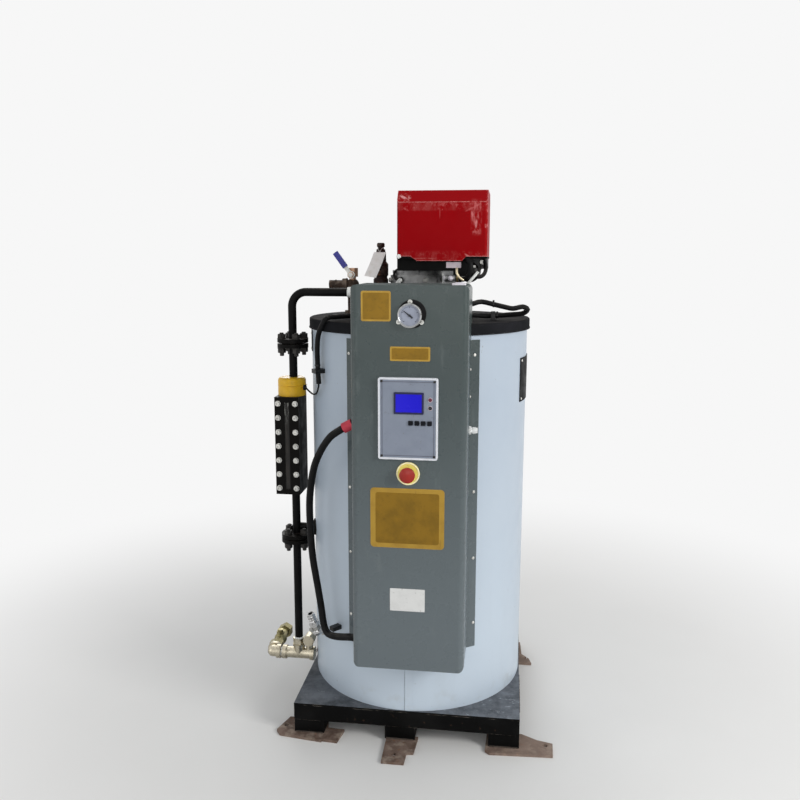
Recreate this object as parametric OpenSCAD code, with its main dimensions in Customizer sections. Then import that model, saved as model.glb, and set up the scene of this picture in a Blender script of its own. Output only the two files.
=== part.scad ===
// Small vertical gas-fired steam boiler with its control cabinet, level gauge and top-mounted burner.
// Millimetres. Z is up, the control cabinet faces -Y, and the floor is at Z = 0.

/* [Node] */
// sub-part to draw, or all

/* [Clearances] */
// gap between the jacket and what is bent round it
fit_gap = 0.3; // [0.2:0.05:0.5]
// gap between the jacket and what stands on it
skin_gap = 0.2; // [0.1:0.05:0.4]
// gap round what sits in a recess
seat_gap = 0.2; // [0.1:0.05:0.3]
// gap between the cabinet and the cap's rim
cap_gap = 1.5; // [1:0.5:3]
// how far a cut runs past a face
cut = 1; // [0.5:0.5:2]

/* [Base] */
// how far the square base stands out past the jacket
base_over = 3; // [0:1:10]
// height of the top of the base above the floor
base_top = 98; // [90:1:110]
// thickness of the top sheet
base_sheet = 5; // [4:1:6]
// height of the channel rails
rail_h = 45; // [40:1:50]
// depth of the channel rails
rail_d = 40; // [36:1:50]
// wall of the channel rails
rail_wall = 4; // [3:1:6]
// width of a leg
leg_w = 86; // [70:1:92]
// depth of a leg
leg_d = 70; // [50:1:80]
// wall of a leg
leg_wall = 6; // [4:1:8]
// distance from the front of the base to the front of a leg
leg_back = 4; // [2:1:10]
// offset of the middle legs to the left
leg_mid = 15; // [0:1:30]
// thickness of the foot plates
foot_t = 8; // [6:1:10]
// diameter of the anchor holes
anchor_d = 14; // [10:1:16]
// how far the left foot plate stands out past the base
foot_left = 54; // [45:1:60]
// how far the right foot plate stands out past the base
foot_right = 94; // [85:1:100]
// how far the middle foot plates stand out past the base
foot_mid = 104; // [90:1:110]
// how far the rear corner foot plates stand out past the base
foot_rear = 46; // [40:1:54]
// width of a middle foot plate
foot_mid_w = 62; // [56:1:70]
// how far a corner foot plate reaches in under the base
foot_in = 90; // [87:1:92]
// how far a front corner foot plate reaches back under the base
foot_deep = 76; // [74:1:84]
// length of a rear corner foot plate
rear_len = 150; // [140:5:160]
// how far a rear corner foot plate stands out behind the base
rear_lip = 10; // [6:1:14]
// distance from the left foot plate's outer end to its hole
hole_left = 22; // [18:1:26]
// distance from the front of the base back to the left foot's hole
hole_left_y = 32; // [28:1:36]
// distance from the middle leg's middle left to its foot's hole
hole_mid_x = 7; // [3:1:11]
// distance from the middle foot plate's outer end to its hole
hole_mid = 36; // [30:1:40]
// distance from the right foot plate's outer end to its hole
hole_right = 21; // [18:1:26]
// distance from the front of the base back to the right foot's hole
hole_right_y = 28; // [24:1:32]
// distance from the rear left foot plate's outer end to its hole
hole_rear_l = 28; // [24:1:32]
// distance from the rear right foot plate's outer end to its hole
hole_rear_r = 20; // [17:1:24]
// distance from the rear of the base forward to the rear corner holes
hole_rear_y = 104; // [98:1:118]

/* [Boiler shell] */
// outer diameter of the jacket
jacket_d = 634; // [620:2:640]
// thickness of the jacket sheet
jacket_wall = 3; // [2:1:4]
// how far the top cap stands out past the jacket
cap_over = 7; // [6:1:10]
// height of the top of the cap above the floor
cap_top = 1183; // [1175:1:1190]
// depth of the cap's rim
cap_rim = 30; // [24:1:34]
// thickness of the cap
cap_t = 3; // [2:1:4]
// outer diameter of the flue spigot
flue_d = 150; // [120:2:160]
// wall of the flue spigot
flue_wall = 2; // [1.5:0.5:3]
// length of the flue spigot
flue_h = 85; // [60:5:100]
// distance from the jacket's outside in to the flue spigot's axis
flue_in = 102; // [94:1:112]
// width of the flue spigot's fixing flange
flue_rim = 14; // [10:1:18]
// rounding of the cap's top edge
cap_r = 5; // [3:1:8]
// thickness of the curved side plates
plate_t = 2; // [1:0.5:3]
// height of the right side plate
plate_h = 125; // [110:5:140]
// height of the underside of the right side plate above the floor
plate_z = 951; // [940:1:960]
// height of the left side plate
strip_h = 60; // [50:5:70]
// height of the underside of the left side plate above the floor
strip_z = 1086; // [1080:1:1090]
// angle of the middle of the right side plate
plate_turn = -4; // [-8:1:0]
// angle that a side plate spans
plate_span = 32; // [28:1:36]
// thickness of the flue spigot's fixing flange
flue_rim_t = 4; // [3:1:6]

/* [Control cabinet] */
// width of the cabinet
cab_w = 298; // [294:1:302]
// distance from the shell axis right to the cabinet's middle
cab_x = 18; // [16:1:20]
// distance from the jacket forward to the cabinet's front
cab_out = 89; // [85:1:93]
// height of the cabinet's lower edge above the floor
cab_bot = 269; // [260:1:280]
// height of the cabinet's top above the floor
cab_top = 1287; // [1282:1:1292]
// sheet thickness of the cabinet
cab_t = 2; // [1.5:0.5:3]
// rounding of the cabinet's front edges
cab_r = 17; // [12:1:20]
// distance from the jacket's outside in to the cabinet's upper back panel
cab_in = 81; // [75:1:85]
// rounding of the cabinet's lower and upper corners
cab_corner = 15; // [8:1:16]
// width of the right fixing flange on the jacket
flange_w = 22; // [18:1:24]
// width of the left fixing flange on the jacket
flange_l = 34; // [30:1:38]
// distance from the cabinet's lower edge up to the flanges
flange_low = 8; // [4:1:14]
// distance from the cap's rim down to the flanges
flange_high = 12; // [6:1:18]

/* [Front fittings] */
// width of the controller
ctl_w = 152; // [148:1:156]
// height of the controller
ctl_h = 210; // [204:1:214]
// height of the controller's middle above the floor
ctl_z = 953; // [950:1:956]
// outer diameter of the pressure gauge
gauge_d = 60; // [56:1:64]
// height of the pressure gauge above the floor
gauge_z = 1213; // [1210:1:1216]
// width of the controller's raised rim
ctl_rim = 5; // [4:0.5:7]
// depth of the controller
ctl_d = 9; // [7:1:12]
// rounding of the controller's corners
ctl_r = 6; // [4:1:8]
// depth of the recess inside the controller's rim
ctl_recess = 3; // [2.5:0.5:4]
// thickness of the controller's panel
panel_t = 2; // [1:0.5:2]
// width of the controller's screen
screen_w = 72; // [68:1:76]
// height of the controller's screen
screen_h = 52; // [48:1:56]
// distance from the controller's middle right to the screen's middle
screen_x = 2; // [0:1:4]
// distance from the controller's middle up to the screen's middle
screen_up = 40.5; // [38:0.5:44]
// thickness of the screen
screen_t = 1.5; // [1:0.5:2]
// width of a key
key_w = 10; // [8:1:12]
// distance between the keys
key_gap = 16; // [14:1:18]
// distance from the controller's middle right to the first key
key_x = 7; // [4:1:10]
// distance from the controller's middle down to the keys
key_down = 11; // [8:1:14]
// thickness of a key
key_t = 2.5; // [2:0.5:3]
// rounding of a key's corners
key_r = 2; // [1:0.5:3]
// depth of the pressure gauge
gauge_t = 15; // [12:1:18]
// distance from the cabinet's middle right to the pressure gauge
gauge_x = 4; // [0:1:8]
// depth of the dial behind the gauge's rim, and the rim's width
gauge_rim = 4; // [3:0.5:5]
// thickness of the gauge's dial
dial_t = 1.5; // [1:0.5:2]
// diameter of the gauge's fixing ears
ear_d = 12; // [10:1:14]
// thickness of the gauge's fixing ears
ear_t = 4; // [3:1:6]
// width of the square brass plate
plate_a = 75; // [70:1:80]
// width of the small brass plate
plate_b = 101; // [96:1:106]
// height of the small brass plate
plate_bh = 36; // [32:1:40]
// width of the large brass plate
plate_c = 192; // [186:1:198]
// height of the large brass plate
plate_ch = 160; // [154:1:166]
// distance from the cabinet's middle left to the square plate's middle
plate_a_x = 82; // [78:1:86]
// distance from the cabinet's top down to the square plate's middle
plate_a_down = 52; // [48:1:56]
// distance from the gauge down to the small plate's middle
plate_b_down = 96; // [92:1:100]
// distance from the emergency stop down to the large plate's middle
plate_c_down = 120; // [116:1:124]
// thickness of the brass plates
brass_t = 1; // [0.8:0.1:1.5]
// width of the white label
label_w = 92; // [86:1:98]
// height of the white label
label_h = 62; // [56:1:68]
// distance from the cabinet's lower edge up to the label's middle
label_up = 198; // [190:1:206]
// thickness of the white label
label_t = 0.8; // [0.5:0.1:1]
// diameter of the emergency stop's ring
estop_d = 60; // [56:1:62]
// diameter of the emergency stop's button
button_d = 40; // [36:1:44]
// height of the emergency stop above the floor
estop_z = 810; // [806:1:814]
// height of the button's head
button_h = 12; // [10:1:14]
// diameter of the button's stem
stem_d = 16; // [14:1:18]
// distance from the cabinet's front to the underside of the button's head
button_z = 18; // [17:1:20]
// height of the dome on the button's head
dome_h = 1; // [1:0.5:2]
// thickness of the emergency stop's ring
ring_t = 3; // [2:0.5:4]
// wall of the emergency stop's neck
neck_wall = 7; // [5:1:8]
// height of the emergency stop's neck
neck_h = 10; // [8:1:11]
// radial clearance round the stem and round the lever's pin
run_gap = 0.08; // [0.06:0.01:0.1]
// distance from the cabinet's front back to the cable gland
gland_in = 110; // [100:1:120]
// height of the cable gland above the floor
gland_z = 904; // [898:1:910]
// length of the cable gland
gland_l = 22; // [20:1:24]

/* [Level column] */
// distance from the jacket out to the level column
col_out = 43; // [39:1:47]
// distance from the shell axis forward to the level column
col_y = 100; // [96:1:104]
// diameter of the level pipes
pipe_d = 24; // [22:1:26]
// height of the upper level pipe above the floor
pipe_z = 1256; // [1252:1:1260]
// bend radius of the upper level pipe
bend_r = 42; // [36:1:48]
// distance from the shell axis left to the upper level pipe's end
drop_x = 140; // [134:1:146]
// diameter of the pipe flanges
pf_d = 90; // [86:1:96]
// thickness of a pipe flange
pf_t = 11; // [9:1:14]
// thickness of the gasket between two pipe flanges
pf_gap = 4; // [3:0.5:5]
// height of the upper flange pair above the floor
pf_top = 1109; // [1105:1:1113]
// height of the lower flange pair above the floor
pf_bot = 519; // [515:1:523]
// width of the level gauge block
lg_w = 72; // [68:1:76]
// depth of the level gauge block
lg_d = 95; // [90:1:100]
// height of the level gauge block
lg_h = 291; // [286:1:296]
// height of the underside of the level gauge block
lg_z = 664; // [660:1:668]
// how far the gauge block's middle is left of the column
lg_off = 10; // [6:1:12]
// diameter of the sensor cap
sensor_d = 82; // [78:1:86]
// height of the sensor cap
sensor_h = 54; // [50:1:58]
// rounding of the sensor cap's top edge
sensor_r = 11; // [8:1:14]
// thickness of the gauge block's cover
cover_t = 24; // [20:1:30]
// width of the groove behind the gauge block's cover
groove_w = 2; // [1.5:0.5:3]
// depth of the groove behind the gauge block's cover
groove_d = 2.5; // [2:0.5:4]
// distance from the gauge block's ends to the sight slot
slot_end = 16; // [12:1:20]
// width of the sight slot
slot_w = 14; // [12:1:16]
// depth of the sight slot
slot_d = 6; // [5:1:8]
// height of the drain tee above the floor
tee_z = 139; // [136:1:142]
// diameter of the tee's arms
tee_d = 34; // [30:1:38]
// diameter of the bands round the tee's ends
band_d = 42; // [38:1:44]
// width of the bands round the tee's ends
band_w = 13; // [10:1:16]
// length of the tee's right arm
tee_right = 49; // [44:1:52]
// length of the tee's left arm
tee_left = 52; // [48:1:54]
// height of the tee's upright arm
tee_up = 28; // [24:1:32]
// height of the nut on the tee
tee_nut = 18; // [14:1:22]
// distance from the column right to the tee's plugged branch
plug_x = 33; // [30:1:36]
// length of an arm of the elbow at the drain cock
elbow_l = 26; // [24:1:30]
// distance from the level pipe left to the drain cock
cock_x = 84; // [80:1:88]
// size across flats of the drain cock's nuts
cock_af = 40; // [36:1:42]
// length of the drain cock
cock_l = 130; // [120:5:140]
// bore of the drain cock
cock_bore = 16; // [14:1:18]
// depth of the drain cock's bore
cock_depth = 30; // [24:1:34]
// angle of the feed inlet round the jacket
feed_turn = 217; // [215:1:219]
// height of the feed inlet above the floor
feed_z = 268; // [262:1:274]
// diameter of the feed inlet's hose barb
barb_d = 22; // [20:1:24]
// length of the feed inlet's hose barb
barb_l = 62; // [58:1:66]
// bore of the feed inlet's hose barb
barb_bore = 14; // [12:1:16]

/* [Cables] */
// diameter of the control hose
hose_d = 20; // [18:1:20]
// diameter of the wiring conduits
conduit_d = 14; // [12:1:14]
// diameter of the sensor wire
wire_d = 5; // [4:0.5:6]
// thickness of the hose ferrule's wall
ferrule_wall = 3.4; // [2.5:0.1:4]
// gap between the control hose and its ferrule, all round
hose_gap = 0.6; // [0.6:0.1:1]
// distance from the cabinet's front back to the ferrule
ferrule_in = 66; // [65.5:0.1:66.5]
// height of the ferrule above the floor
ferrule_z = 926; // [925.8:0.1:926.2]
// length of the ferrule
ferrule_l = 28; // [24:1:30]
// angle of the ferrule below the upright
ferrule_turn = 118; // [117.5:0.1:118.5]
// height of the conduit clip on the jacket above the floor
clip_z = 1036; // [1030:1:1042]
// height of the cable clips
clip_h = 12; // [10:1:14]
// angle of the conduit clip round the jacket
clip_turn = 218.3; // [217.5:0.1:219]
// gap between a conduit and its clip, all round
clip_gap = 1.5; // [1.5:0.1:2]

/* [Burner] */
// width of the burner hood
hood_w = 248; // [242:1:254]
// distance from the shell axis right to the hood's middle
hood_x = 77; // [73:1:81]
// depth of the burner hood
hood_d = 230; // [220:1:240]
// distance from the shell axis forward to the hood's front
hood_front = 150; // [146:1:154]
// height of the hood's lower edge above the floor
hood_bot = 1357; // [1355:1:1359]
// height of the hood
hood_h = 179; // [174:1:184]
// sheet thickness of the hood
hood_t = 2; // [1.5:0.5:3]
// rounding of the hood's upright edges
hood_r = 7; // [4:1:10]
// height of the hood's sloping edge
slope_h = 33; // [28:1:38]
// depth of the hood's sloping edge
slope_d = 28; // [24:1:34]
// height of the lip under the hood's front
lip_h = 12; // [8:1:14]
// thickness of the burner's base plate
burner_t = 6; // [5:1:8]
// width of the burner casing
casing_w = 158; // [150:2:164]
// depth of the burner casing
casing_d = 200; // [190:5:206]
// height of the burner casing under its plate
casing_h = 33; // [30:1:36]
// rounding of the casing's upright edges
casing_r = 12; // [8:1:16]
// diameter of the burner motor
motor_d = 60; // [54:1:64]
// length of the burner motor
motor_l = 134; // [120:2:144]
// bore of the gas union
gas_bore = 16; // [14:1:18]
// width of the gas valve
valve_w = 36; // [32:1:38]
// depth of the gas valve
valve_d = 60; // [54:1:64]
// height of the gas valve
valve_h = 34; // [30:1:36]
// distance from the shell axis right to the gas valve's left side
valve_x = 78; // [74:1:80]
// distance from the shell axis forward to the gas valve's front
valve_front = 132; // [128:1:136]
// distance from the shell axis forward to the gas union
union_y = 112; // [110:1:114]
// distance from the hood's lower edge down to the gas union
union_down = 56; // [54:1:60]
// length of the gas union
union_l = 24; // [20:1:28]
// distance from the hood's right side in to the motor's axis
motor_in = 51; // [47:1:55]
// distance from the hood's lower edge down to the motor's axis
motor_down = 42; // [40:1:46]
// distance from the shell axis forward to the motor's front
motor_front = 90; // [86:1:92]
// width of the fan housing over the motor
fan_w = 58; // [54:1:60]
// height of the fan housing over the motor
fan_h = 28; // [24:1:32]
// length of the fan housing over the motor
fan_l = 130; // [120:5:140]
// diameter of the blast tube's collar
collar_d = 160; // [150:1:166]
// distance from the shell axis left to the collar's axis
collar_x = 5; // [0:1:8]

/* [Steam fittings] */
// diameter of the steam pipe
steam_d = 26; // [24:1:28]
// inner diameter of the steam pipe
steam_bore = 20; // [16:1:20]
// height of the steam pipe above the floor
steam_z = 1275; // [1272:1:1278]
// diameter of the steam riser
riser_d = 30; // [26:1:32]
// distance from the steam riser left to the end of the steam pipe
stub_l = 70; // [60:1:80]
// depth of the steam pipe's bore
steam_depth = 51; // [45:1:56]
// size across flats of the nuts on the cap
nut_af = 42; // [38:1:46]
// height of the nuts on the cap
nut_h = 16; // [14:1:20]
// height of the flat top of the elbow above the steam pipe
elbow_top = 15; // [13:1:17]
// distance from the shell axis left to the steam riser
riser_x = 200; // [196:1:204]
// height of the vent valve's stem above the floor
vent_z = 1304; // [1302:1:1308]
// size across flats of the vent valve's body
vent_af = 28; // [24:1:32]
// diameter of the lever's pin
pin_d = 10; // [8:1:12]
// distance from the vent valve's axis forward to the lever's back
lever_y = 22.2; // [22.2:0.1:23]
// length of the vent valve's lever
lever_l = 80; // [74:1:84]
// angle of the lever above the horizontal
lever_a = 54; // [50:1:58]
// width of the lever's strip
lever_w = 12; // [10:1:14]
// thickness of the lever's strip
lever_t = 3.6; // [3:0.2:4]
// length of the lever's grip
grip_l = 52; // [46:1:56]
// wall of the lever's grip
grip_wall = 2; // [1.5:0.1:2.5]
// distance from the shell axis left to the safety valve
safety_x = 115; // [110:1:118]
// diameter of the safety valve's body
safety_d = 44; // [40:1:46]
// diameter of the safety valve's neck
neck_d = 30; // [26:1:34]
// height of the safety valve above the cap
safety_h = 214; // [208:1:218]

/* [Hidden] */
R = jacket_d / 2;
RC = R + cap_over;
base_side = jacket_d + 2 * base_over;
hb = base_side / 2;
cab_front = R + cab_out;
cab_back = R - cab_in;
flue_back = R - flue_in;
col_x = R + col_out;
reach_left = col_x + cock_x + cock_af / 2;
reach_right = hb + foot_right;
reach_front = cab_front + button_z + button_h - dome_h;
reach_back = hb + foot_mid;
shell_x = (reach_left - reach_right) / 2;
shell_y = (reach_front - reach_back) / 2;
leg_h = base_top - base_sheet - rail_h - foot_t;
cab_l = cab_x - cab_w / 2;
cab_rt = cab_x + cab_w / 2;
plate_bot = cap_top - cap_t;
fy = -cab_front;
panel_y = fy - ctl_d + ctl_recess - panel_t;
sensor_z = lg_z + lg_h;
tee_top = tee_z + tee_up + 4 + tee_nut;
pf_half = pf_t + pf_gap / 2;
body_z = hood_bot - burner_t - casing_h;
paint = [0.36, 0.4, 0.41];
sheet = [0.76, 0.82, 0.88];
dark = [0.07, 0.07, 0.08];
slate = [0.19, 0.21, 0.24];
steel = [0.62, 0.62, 0.6];
rust = [0.42, 0.34, 0.3];

function unit(v) = v / norm(v);
function ring(p, t, ref, r, n) =
  let (u = unit(cross(t, ref)), w = cross(t, u))
  [for (i = [0:n - 1]) p + r * (cos(360 * i / n) * u + sin(360 * i / n) * w)];
function spl(p, i, s) =
  let (a = p[max(i - 1, 0)], b = p[i], c = p[i + 1], d = p[min(i + 2, len(p) - 1)])
  0.5 * ((2 * b) + (c - a) * s + (2 * a - 5 * b + 4 * c - d) * s * s
  + (3 * b - a - 3 * c + d) * s * s * s);
function smooth(p, m) = concat(
  [for (i = [0:len(p) - 2]) for (j = [0:m - 1]) spl(p, i, j / m)], [p[len(p) - 1]]);
function tangent(q, i) = unit(q[min(i + 1, len(q) - 1)] - q[max(i - 1, 0)]);

module placed() {
  translate([shell_x, shell_y, 0]) children();
}

module sweep(p, r, m = 3, n = 12, ref = [0.37, 0.91, 0.17]) {
  q = smooth(p, m);
  k = len(q);
  pts = [for (i = [0:k - 1]) for (v = ring(q[i], tangent(q, i), ref, r, n)) v];
  sides = [for (i = [0:k - 2]) for (j = [0:n - 1])
    [i * n + j, i * n + (j + 1) % n, (i + 1) * n + (j + 1) % n, (i + 1) * n + j]];
  ends = [[for (j = [0:n - 1]) n - 1 - j], [for (j = [0:n - 1]) (k - 1) * n + j]];
  polyhedron(pts, concat(sides, ends), convexity = 6);
}

module rod(d, l) {
  cylinder(d = d, h = l, $fn = 64);
}

module hex(af, l) {
  cylinder(d = af / cos(30), h = l, $fn = 6);
}

module along_x(x, y, z) {
  translate([x, y, z]) rotate([0, 90, 0]) children();
}

module along_y(x, y, z) {
  translate([x, y, z]) rotate([-90, 0, 0]) children();
}

module rrect(w, h, r) {
  square([w - 2 * r, h], center = true);
  square([w, h - 2 * r], center = true);
  for (sx = [-1, 1]) for (sy = [-1, 1])
    translate([sx * (w / 2 - r), sy * (h / 2 - r)]) circle(r, $fn = 48);
}

// a rounded plate on the cabinet's front, standing out from depth d0 to depth d1
module front_plate(x, z, w, h, r, d0, d1) {
  translate([x, fy - d0, z]) rotate([90, 0, 0]) linear_extrude(d1 - d0) rrect(w, h, r);
}

module ring_part(ri, ro, z0, z1, a0, a1) {
  rotate([0, 0, a0]) rotate_extrude(angle = a1 - a0, $fn = 180)
    translate([ri, z0]) square([ro - ri, z1 - z0]);
}

// Base

module base_plate() color(slate) placed() {
  translate([-hb, -hb, base_top - base_sheet]) cube([base_side, base_side, base_sheet]);
}

module channel(l) {
  difference() {
    translate([-l / 2, 0, 0]) cube([l, rail_d, rail_h]);
    translate([-l / 2 + rail_wall, rail_wall, rail_wall])
      cube([l - 2 * rail_wall, rail_d, rail_h - 2 * rail_wall]);
  }
}

module cross_rails() color(dark) placed() {
  z0 = foot_t + leg_h;
  translate([0, -hb, z0]) channel(base_side);
  translate([0, hb, z0]) rotate([0, 0, 180]) channel(base_side);
}

module side_rails() color(dark) placed() {
  z0 = foot_t + leg_h;
  l = base_side - 2 * rail_d;
  translate([hb, 0, z0]) rotate([0, 0, 90]) channel(l);
  translate([-hb, 0, z0]) rotate([0, 0, -90]) channel(l);
}

module leg() {
  difference() {
    translate([-leg_w / 2, 0, foot_t]) cube([leg_w, leg_d, leg_h]);
    translate([-leg_w / 2 + leg_wall, leg_wall, foot_t - cut])
      cube([leg_w - 2 * leg_wall, leg_d, leg_h + 2 * cut]);
  }
}

module legs() color(dark) placed() {
  y = hb - leg_back;
  x = hb - leg_w / 2;
  for (px = [-x, -leg_mid, x]) {
    translate([px, -y, 0]) leg();
    translate([px, y, 0]) rotate([0, 0, 180]) leg();
  }
}

module anchor(x, y) {
  translate([x, y, -cut]) cylinder(d = anchor_d, h = foot_t + 2 * cut, $fn = 48);
}

module foot(pts) {
  linear_extrude(foot_t) polygon(pts);
}

module front_feet() color(rust) placed() {
  half = foot_mid_w / 2;
  difference() {
    translate([-hb, -hb, 0]) foot([[-foot_left, 6], [-foot_left + 14, -13], [foot_in - 6, -30],
      [foot_in - 4, -25], [foot_in + 40, -29], [foot_in + 50, 30], [foot_in + 2, 34],
      [foot_in - 6, foot_deep - 2], [-foot_left + 22, foot_deep]]);
    anchor(-hb - foot_left + hole_left, -hb + hole_left_y);
  }
  difference() {
    translate([-leg_mid, -hb, 0]) foot([[-half - 6, -foot_mid], [half - 6, -foot_mid], [half - 4, -56],
      [half + 15, -54], [half + 20, 22], [half - 4, 24], [-half - 8, 30]]);
    anchor(-leg_mid - hole_mid_x, -hb - foot_mid + hole_mid);
  }
  difference() {
    translate([hb, -hb, 0]) foot([[-foot_in - 4, -14], [-foot_in + 8, -26], [foot_right - 2, -16],
      [foot_right, 40], [foot_right - 44, 52], [8, foot_deep], [-foot_in, foot_deep]]);
    anchor(hb + foot_right - hole_right, -hb + hole_right_y);
  }
}

module rear_feet() color(rust) placed() {
  half = foot_mid_w / 2;
  y0 = rear_lip - rear_len;
  difference() {
    translate([-hb, hb, 0]) foot([[-foot_left, y0], [foot_in, y0], [foot_in, rear_lip], [-20, rear_lip],
      [-foot_left, y0 + 70]]);
    anchor(-hb - foot_left + hole_rear_l, hb - hole_rear_y);
  }
  difference() {
    translate([-leg_mid, hb, 0]) foot([[-half - 6, foot_mid], [-half - 8, -30], [half - 4, -24],
      [half - 6, foot_mid]]);
    anchor(-leg_mid - hole_mid_x, hb + foot_mid - hole_mid);
  }
  difference() {
    translate([hb, hb, 0]) foot([[-foot_in, y0], [foot_rear, y0], [foot_rear - 8, y0 + 32],
      [14, y0 + 62], [10, rear_lip], [-foot_in, rear_lip]]);
    anchor(hb + foot_rear - hole_rear_r, hb - hole_rear_y);
  }
}

// Boiler shell

module jacket() color(sheet) placed() {
  translate([0, 0, base_top]) difference() {
    cylinder(r = R, h = plate_bot - base_top, $fn = 240);
    translate([0, 0, -cut])
      cylinder(r = R - jacket_wall, h = plate_bot - base_top + 2 * cut, $fn = 240);
  }
}

module top_cap() color(slate) placed() {
  difference() {
    translate([0, 0, cap_top - cap_rim]) rotate_extrude($fn = 240) {
      square([RC, cap_rim - cap_r]);
      square([RC - cap_r, cap_rim]);
      translate([RC - cap_r, cap_rim - cap_r]) circle(cap_r, $fn = 48);
    }
    translate([0, 0, cap_top - cap_rim - cut])
      cylinder(r = R + 1, h = cap_rim + cut - cap_t, $fn = 240);
    translate([0, flue_back, cap_top - cap_rim])
      cylinder(d = flue_d - 2 * flue_wall, h = cap_rim + cut, $fn = 96);
  }
}

module side_plates() color(slate) placed() {
  r = R + skin_gap;
  a = plate_turn - plate_span / 2;
  ring_part(r, r + plate_t, plate_z, plate_z + plate_h, a, a + plate_span);
  ring_part(r, r + plate_t, strip_z, strip_z + strip_h, 180 - a - plate_span, 180 - a);
}

module flue_spigot() color(steel) placed() {
  translate([0, flue_back, cap_top]) difference() {
    union() {
      cylinder(d = flue_d, h = flue_h, $fn = 96);
      cylinder(d = flue_d + 2 * flue_rim, h = flue_rim_t, $fn = 96);
    }
    translate([0, 0, -cut]) cylinder(d = flue_d - 2 * flue_wall, h = flue_h + 2 * cut, $fn = 96);
  }
}

// Control cabinet

module cab_outline(i, y1) {
  x0 = cab_l + i;
  w = cab_w - 2 * i;
  r = cab_r - i;
  y0 = fy + i;
  translate([x0, y0 + r]) square([w, y1 - y0 - r]);
  translate([x0 + r, y0]) square([w - 2 * r, y1 - y0]);
  for (x = [x0 + r, x0 + w - r]) translate([x, y0 + r]) circle(r, $fn = 64);
}

module cab_shape(i, y1) {
  intersection() {
    translate([0, 0, cab_bot + i]) linear_extrude(cab_top - cab_bot - 2 * i) cab_outline(i, y1);
    translate([cab_x, 0, (cab_bot + cab_top) / 2]) rotate([90, 0, 0]) linear_extrude(cab_front + cut)
      rrect(cab_w - 2 * i, cab_top - cab_bot - 2 * i, cab_corner - i);
  }
}

module cabinet_cover() color(paint) placed() {
  rim_z = cap_top - cap_rim;
  difference() {
    cab_shape(0, -cab_back);
    cab_shape(cab_t, -cab_back - cab_t);
    translate([0, 0, cab_bot - cut]) cylinder(r = R + fit_gap, h = rim_z - cab_bot, $fn = 240);
    translate([0, 0, rim_z - 2 * cut]) cylinder(r = RC + cap_gap, h = cap_rim + 2 * cut, $fn = 240);
  }
  r = R + fit_gap;
  z0 = cab_bot + flange_low;
  z1 = rim_z - flange_high;
  a_r = asin((cab_rt - cab_t) / (R + 1));
  b_r = asin((cab_rt + flange_w) / (R + 1));
  a_l = asin((-cab_l - cab_t) / (R + 1));
  b_l = asin((-cab_l + flange_l) / (R + 1));
  ring_part(r, r + cab_t, z0, z1, -90 + a_r, -90 + b_r);
  ring_part(r, r + cab_t, z0, z1, -90 - b_l, -90 - a_l);
}

module controller_bezel() color([0.9, 0.9, 0.88]) placed() {
  translate([cab_x, fy, ctl_z]) rotate([90, 0, 0]) difference() {
    linear_extrude(ctl_d) rrect(ctl_w, ctl_h, ctl_r);
    translate([0, 0, ctl_d - ctl_recess]) linear_extrude(ctl_d)
      square([ctl_w - 2 * ctl_rim, ctl_h - 2 * ctl_rim], center = true);
  }
}

module controller_panel() color([0.56, 0.59, 0.64]) placed() {
  inset = ctl_rim + seat_gap;
  translate([cab_x, fy - ctl_d + ctl_recess, ctl_z]) rotate([90, 0, 0]) linear_extrude(panel_t)
    square([ctl_w - 2 * inset, ctl_h - 2 * inset], center = true);
}

module controller_screen() color([0.16, 0.13, 0.85]) placed() {
  translate([cab_x + screen_x, panel_y, ctl_z + screen_up]) rotate([90, 0, 0])
    linear_extrude(screen_t) square([screen_w, screen_h], center = true);
}

module controller_keys() color(dark) placed() {
  for (i = [0:3]) translate([cab_x + key_x + key_gap * i, panel_y, ctl_z - key_down])
    rotate([90, 0, 0]) linear_extrude(key_t) rrect(key_w, key_w, key_r);
}

module gauge_case() color(steel) placed() {
  translate([cab_x + gauge_x, fy, gauge_z]) rotate([90, 0, 0]) difference() {
    union() {
      rod(gauge_d, gauge_t);
      for (a = [90, 210, 330]) rotate([0, 0, a]) translate([(gauge_d + ear_d) / 2 - 3, 0, 0])
        rod(ear_d, ear_t);
    }
    translate([0, 0, gauge_t - gauge_rim]) rod(gauge_d - 2 * gauge_rim, gauge_rim + cut);
  }
}

module gauge_dial() color([0.75, 0.77, 0.78]) placed() {
  translate([cab_x + gauge_x, fy - gauge_t + gauge_rim, gauge_z]) rotate([90, 0, 0])
    rod(gauge_d - 2 * gauge_rim - 3 * seat_gap, dial_t);
}

module estop_collar() color([0.9, 0.8, 0.2]) placed() {
  translate([cab_x, fy, estop_z]) rotate([90, 0, 0]) difference() {
    union() {
      rod(estop_d, ring_t);
      rod(stem_d + 2 * neck_wall, neck_h);
    }
    translate([0, 0, -cut]) rod(stem_d + 2 * run_gap, neck_h + 2 * cut);
  }
}

module estop_button() color([0.8, 0.1, 0.08]) placed() {
  translate([cab_x, fy, estop_z]) rotate([90, 0, 0]) {
    translate([0, 0, neck_h - 4]) rod(stem_d, button_z - neck_h + 5);
    translate([0, 0, button_z - 2]) rod(button_d - 6, 3);
    intersection() {
      translate([0, 0, button_z]) rod(button_d, button_h);
      translate([0, 0, button_z + button_h - dome_h - button_d]) sphere(button_d, $fn = 128);
    }
  }
}

module brass_plates() color([0.66, 0.52, 0.18]) placed() {
  front_plate(cab_x - plate_a_x, cab_top - plate_a_down, plate_a, plate_a, 5, 0, brass_t);
  front_plate(cab_x + gauge_x, gauge_z - plate_b_down, plate_b, plate_bh, 3, 0, brass_t);
  front_plate(cab_x - 2, estop_z - plate_c_down, plate_c, plate_ch, 10, 0, brass_t);
}

module white_label() color([0.9, 0.9, 0.9]) placed() {
  front_plate(cab_x - 1, cab_bot + label_up, label_w, label_h, 1.5, 0, label_t);
}

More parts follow.
